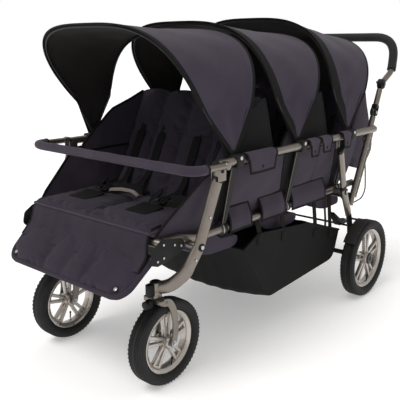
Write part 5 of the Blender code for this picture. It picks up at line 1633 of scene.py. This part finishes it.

# %% [markdown]
# ## Canopies
#
# Each hood is one cloth stretched between two wire bows. The cloth dips a little between them, has fine
# tension folds towards its feet, and is navy outside and black inside. Its front edge is a wide black hem.

# %% Hood shapes
FRONT_ARCH = dict(width=0.2292, height=0.4817, square=3.2255, spread=0.511, curl=0.1689)
REAR_ARCH = dict(width=0.2871, height=0.3685, square=3.2368, spread=0.2285, curl=-0.13)
FRONT_ANGLES, REAR_ANGLES = (0.6946, 0.6454, 0.5699), (-0.1891, -0.2734, -0.3229)
HEM = (0.018, 0.036, 0.05)
FIRST_TURN, FOOT_X, BOW_R = 0.22, 0.312, 0.0035
BOW_EYES = {"front": 0.2938, "rear": 0.3018}
HEM_COLUMNS, HOOD_COLUMNS = 4, 24


def arch(row, shape, angle, turn):
    """A point of a bow at this turn, from the left foot (0) over the top to the right foot (pi)."""
    power = 2 / shape["square"]
    r = shape["height"] * abs(math.sin(turn)) ** power
    share = r / shape["height"]
    x = shape["width"] * math.copysign(abs(math.cos(turn)) ** power, math.cos(turn)) * (1 + shape["spread"] * share)
    a = angle + shape["curl"] * (1 - share)
    return at(x, 0.282 + row * 0.3485 - r * math.sin(a), 0.6385 + r * math.cos(a))


def hood_ends(row):
    """Front and rear edge points from foot to foot."""
    turns = [FIRST_TURN + (math.pi - 2 * FIRST_TURN) * i / 72 for i in range(73)]
    edges = []
    for shape, angle, sign in ((FRONT_ARCH, FRONT_ANGLES[row], -1), (REAR_ARCH, REAR_ANGLES[row], 1)):
        line = [arch(row, shape, angle, turn) for turn in turns]
        foot = at(FOOT_X - 0.0015, FIRST_STRUT + PITCH * row + sign * 0.0155, HINGE_Z + 0.014)
        near = [foot.lerp(line[0], k / 6) for k in range(6)]
        edges.append(near + line + far_side(near))
    return edges


def across_hood(row, steps):
    """Straight lines from the front edge to the rear edge, in this many steps."""
    return np.array([[f.lerp(r, j / steps) for j in range(steps + 1)] for f, r in zip(*hood_ends(row))])


def hood_grid(row):
    """The outer face, with the first columns kept for the hem, and a point inside the hood."""
    flat = across_hood(row, 8)
    middle = flat.mean(axis=(0, 1)) - np.array((0, 0, 0.15))
    inward = normals_of(flat, middle)[:, 4]
    front, rear = hood_ends(row)
    grid = []
    for i, (f, r) in enumerate(zip(front, rear)):
        s, depth, rest = i / (len(front) - 1), (r - f).length, HOOD_COLUMNS - HEM_COLUMNS
        hem = min(HEM[row] / depth, 0.4)
        shares = [hem * k / HEM_COLUMNS for k in range(HEM_COLUMNS)]
        shares += [hem + (1 - hem) * k / rest for k in range(rest + 1)]
        high, line = math.sin(math.pi * s), []
        for v in shares:
            hump = math.sin(math.pi * v)
            sag = 0.006 * hump * min(1.0, depth / 0.12)
            fold = 0.0011 * math.sin(34 * s + 9 * v) * hump
            fold += 0.0012 * math.sin(11 * v + 5 * row) * hump * (1 - high)
            fold += 0.0008 * math.sin(70 * s - 14 * v + row) * hump**2
            line.append(f.lerp(r, v) + Vector(inward[i]) * (sag + fold * min(1.0, depth / 0.1)))
        grid.append(line)
    return np.array(grid), middle


def lifted(points, outward):
    """A line raised from the cloth by a thread's thickness."""
    return [Vector(p) + Vector(n) * 0.0006 for p, n in zip(points, outward)]


def bow_path(row, edge, middle):
    """Inside the cloth along one edge, from eye to eye."""
    column, step = (0, 1) if edge == "front" else (-1, -2)
    coarse = across_hood(row, 4)
    inward = normals_of(coarse, middle)
    along = coarse[:, step] - coarse[:, column]
    along /= np.linalg.norm(along, axis=1, keepdims=True)
    offset = 0.003 + BOW_R + 0.0012
    line = [Vector(p) for p in (coarse[:, column] + inward[:, column] * offset + along * 0.008)[8:-8]]
    start, end = (at(side * BOW_EYES[edge], FIRST_STRUT + PITCH * row, HINGE_Z) for side in (1, -1))
    wire = smooth_path([start] + line + [end], 150)
    wire[0] = wire[0].lerp(wire[1], 0.9)
    wire[-1] = wire[-1].lerp(wire[-2], 0.9)
    return wire


def bow_eyes(row, edge):
    """The eye at each foot of a bow, turned on its strut's pin."""
    centre = at(0, FIRST_STRUT + PITCH * row, HINGE_Z)
    return [turned([(x - 0.0032, 0.0034), (x - 0.0032, 0.0075), (x - 0.0026, 0.008), (x + 0.0026, 0.008),
                    (x + 0.0032, 0.0075), (x + 0.0032, 0.0034)], centre, 32)
            for x in (BOW_EYES[edge], -BOW_EYES[edge])]


for row in range(ROWS):
    grid, middle = hood_grid(row)
    body, top = f"canopy_{row + 1}", grid[len(grid) // 2]
    hood = piece(f"{body}_cloth", cloth_mesh(grid, 0.0022, middle, HEM_COLUMNS), (NAVY, LINING, BINDING), None,
                 f"{body}_fabric", 60)
    tapes = [tape(grid, middle, which, 0.008, 0.0022)[0] for which in ("first_column", "last_column")]
    tapes += [tape(grid, middle, which, 0.006, 0.0022)[0] for which in ("first_row", "last_row")]
    binding = piece(f"{body}_binding", merged(*tapes), BINDING, None)
    outward = -normals_of(grid, middle)
    hem = grid[6:-6, HEM_COLUMNS + 1] * 0.12 + grid[6:-6, HEM_COLUMNS] * 0.88
    threads = merged(stitched(lifted(hem, outward[6:-6, HEM_COLUMNS]), THREAD),
                     stitched(lifted(grid[6:-6, -3], outward[6:-6, -3]), THREAD))
    stitches = piece(f"{body}_stitches", threads, THREAD, None)
    for obj in (hood, binding, stitches):
        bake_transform(obj)
    for edge, rides in (("front", body), ("rear", "seat_frame")):
        wire = merged(tube(bow_path(row, edge, middle), BOW_R, 14), *bow_eyes(row, edge))
        piece(f"{body}_{edge}_bow_wire", wire, WIRE, rides, f"{body}_{edge}_bow")
    declared(hood, grid)

# %% The rear hood's back panel
PANEL_HALF = 0.266
arc = hood_ends(ROWS - 1)[1][10:-10]
middle = at(0, 0.95, 0.82)
grid = []
for i, p in enumerate(arc):
    s = i / (len(arc) - 1)
    upper = p + (middle - p).normalized() * 0.006
    upper.x = max(-PANEL_HALF, min(PANEL_HALF, upper.x))
    lower = on_back(ROWS - 1, 0.24 * (1 - 2 * s), -0.004, 0.385)
    bow_out, line = 0.004 * math.sin(math.pi * s), []
    for j in range(15):
        hump = math.sin(math.pi * j / 14)
        line.append(upper.lerp(lower, j / 14) + Vector((0, bow_out * hump + 0.0012 * math.sin(17 * s) * hump, 0)))
    grid.append(line)
panel = piece("canopy_3_back_panel", cloth_mesh(grid, 0.0018, middle), (LINING, LINING), None,
              (), 60)
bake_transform(panel)
declared(panel, grid)

# %% [markdown]
# ## Storage basket
#
# The basket is a tub of black nylon slung under the lower rails on eight webbing straps. Its floor sags and
# its rim is bound.

# %% Basket
TUB = ((0.324, 0.338, 0.285), (0.47, 0.132, 0.28), (0.912, 0.153, 0.28), (0.939, 0.262, 0.285))
SAG = (0, 0.032, 0.012, 0)
RIM_LINE, RIM_X = ((0.324, 0.338), (0.4, 0.372), (0.7, 0.34), (0.939, 0.262)), 0.285
RIM_FRONT, RIM_REAR = RIM_LINE[0][0], RIM_LINE[-1][0]
SLINGS = ((0.41, 0.35), (0.55, 0.33), (0.76, 0.29), (0.87, 0.262))


def read_off(s, places, values):
    return float(np.interp(s, places, values))


corners = np.cumsum([0] + [math.dist(a[:2], b[:2]) for a, b in zip(TUB, TUB[1:])])
corners /= corners[-1]
base_line = bent([Vector((0, p[0], p[1])) for p in TUB], 0.05, 6)
lengths = np.concatenate(([0], np.cumsum([(b - a).length for a, b in zip(base_line, base_line[1:])])))
lengths /= lengths[-1]
grid = []
for s in np.linspace(0, 1, 61):
    y, z = (read_off(s, lengths, [p[axis] for p in base_line]) for axis in (1, 2))
    half, sag = read_off(s, corners, [p[2] for p in TUB]), read_off(s, corners, SAG)
    rim_y = RIM_FRONT + (RIM_REAR - RIM_FRONT) * s
    rim_z = read_off(rim_y, [p[0] for p in RIM_LINE], [p[1] for p in RIM_LINE])
    wall = []
    for k in range(10):
        t = 1 - k / 10
        x = half + (RIM_X - half) * t - 0.002 * math.sin(math.pi * t)
        wall.append((x, y + (rim_y - y) * t, z + (rim_z - z) * t))
    floor_line = []
    for k in range(41):
        u = 2 * k / 40 - 1
        ripple = 0.0015 * math.sin(26 * u + 9 * s) * (1 - u * u)
        floor_line.append((half * u, y, z - sag * (1 - u * u) + ripple))
    grid.append(at_all([(-x, py, pz) for x, py, pz in wall] + floor_line + wall[::-1]))
inside = at(0, 0.65, 0.33)
tub = piece("basket_tub", cloth_mesh(grid, 0.0022, inside), (BLACK_CLOTH, BLACK_CLOTH), "seat_frame",
            "storage_basket", 60)
first, last = grid[0], grid[-1]
edges = first[10:51], last[10:51], [line[0] for line in grid], [line[-1] for line in grid]
rim = piece("basket_rim", merged(*[tube(line, 0.0035, 10) for line in edges]), BINDING, "seat_frame")
slings = []
for side in (-1, 1):
    for y, z in SLINGS:
        outer = [at(side * 0.2838, y, z), at(side * 0.2835, y, z + 0.02), at(side * 0.2712, y, 0.4136)]
        patch = [at(side * 0.2858, y, z - 0.012), at(side * 0.2858, y, z + 0.016)]
        slings += [strap(outer, (0, 1, 0), 0.024, 0.0024), strap(patch, (0, 1, 0), 0.03, 0.0016)]
hangers = piece("basket_straps", merged(*slings), WEBBING, "seat_frame")
for obj in (tub, rim, hangers):
    at(0, 0.6, 0.412)
    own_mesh(obj)
declared(tub, grid)

# %% [markdown]
# ## Floor, light and background
#
# The photo is a catalogue picture on white. A soft sun from the upper left and an even sky light the
# stroller at a level where its colours come out as written. The floor is pale enough to reach white by
# itself, so only the soft shadow shows on it.

# %% Stage and light
floor_look = Look("studio_floor", Roughness=0.9, Specular_IOR_Level=0.1)
mottle = floor_look.noise(3.0, 2.0)
floor_look.show(floor_look.tint(mottle, (0.86, 0.86, 0.86), (0.89, 0.89, 0.89)), 0.9)
floor_look.shader.inputs["Emission Color"].default_value = (1, 1, 1, 1)
floor_look.shader.inputs["Emission Strength"].default_value = 0.3
bm = bmesh.new()
bmesh.ops.create_grid(bm, x_segments=4, y_segments=4, size=14)
floor = link("studio_floor", from_bmesh(bm))
floor.data.materials.append(floor_look.material)

world = bpy.data.worlds.new("studio")
world.use_nodes = True
nodes, wires = world.node_tree.nodes, world.node_tree.links
nodes.clear()
seen, sky = nodes.new("ShaderNodeBackground"), nodes.new("ShaderNodeBackground")
both, out = nodes.new("ShaderNodeMixShader"), nodes.new("ShaderNodeOutputWorld")
rays = nodes.new("ShaderNodeLightPath")
seen.inputs["Color"].default_value = (1, 1, 1, 1)
seen.inputs["Strength"].default_value = 1.0
sky.inputs["Color"].default_value = (1.0, 0.985, 0.97, 1)
sky.inputs["Strength"].default_value = 0.62
wires.new(rays.outputs["Is Camera Ray"], both.inputs[0])
wires.new(sky.outputs[0], both.inputs[1])
wires.new(seen.outputs[0], both.inputs[2])
wires.new(both.outputs[0], out.inputs["Surface"])
bpy.context.scene.world = world
sun = bpy.data.lights.new("soft_sun", "SUN")
sun.energy = 1.5
sun.angle = math.radians(28)
sun.color = (1.0, 0.985, 0.96)
sun_object = link("soft_sun", sun)
sun_object.rotation_euler = Vector((0.15, 0.75, -1.25)).to_track_quat("-Z", "Y").to_euler()
print("floor, sky and one sun")
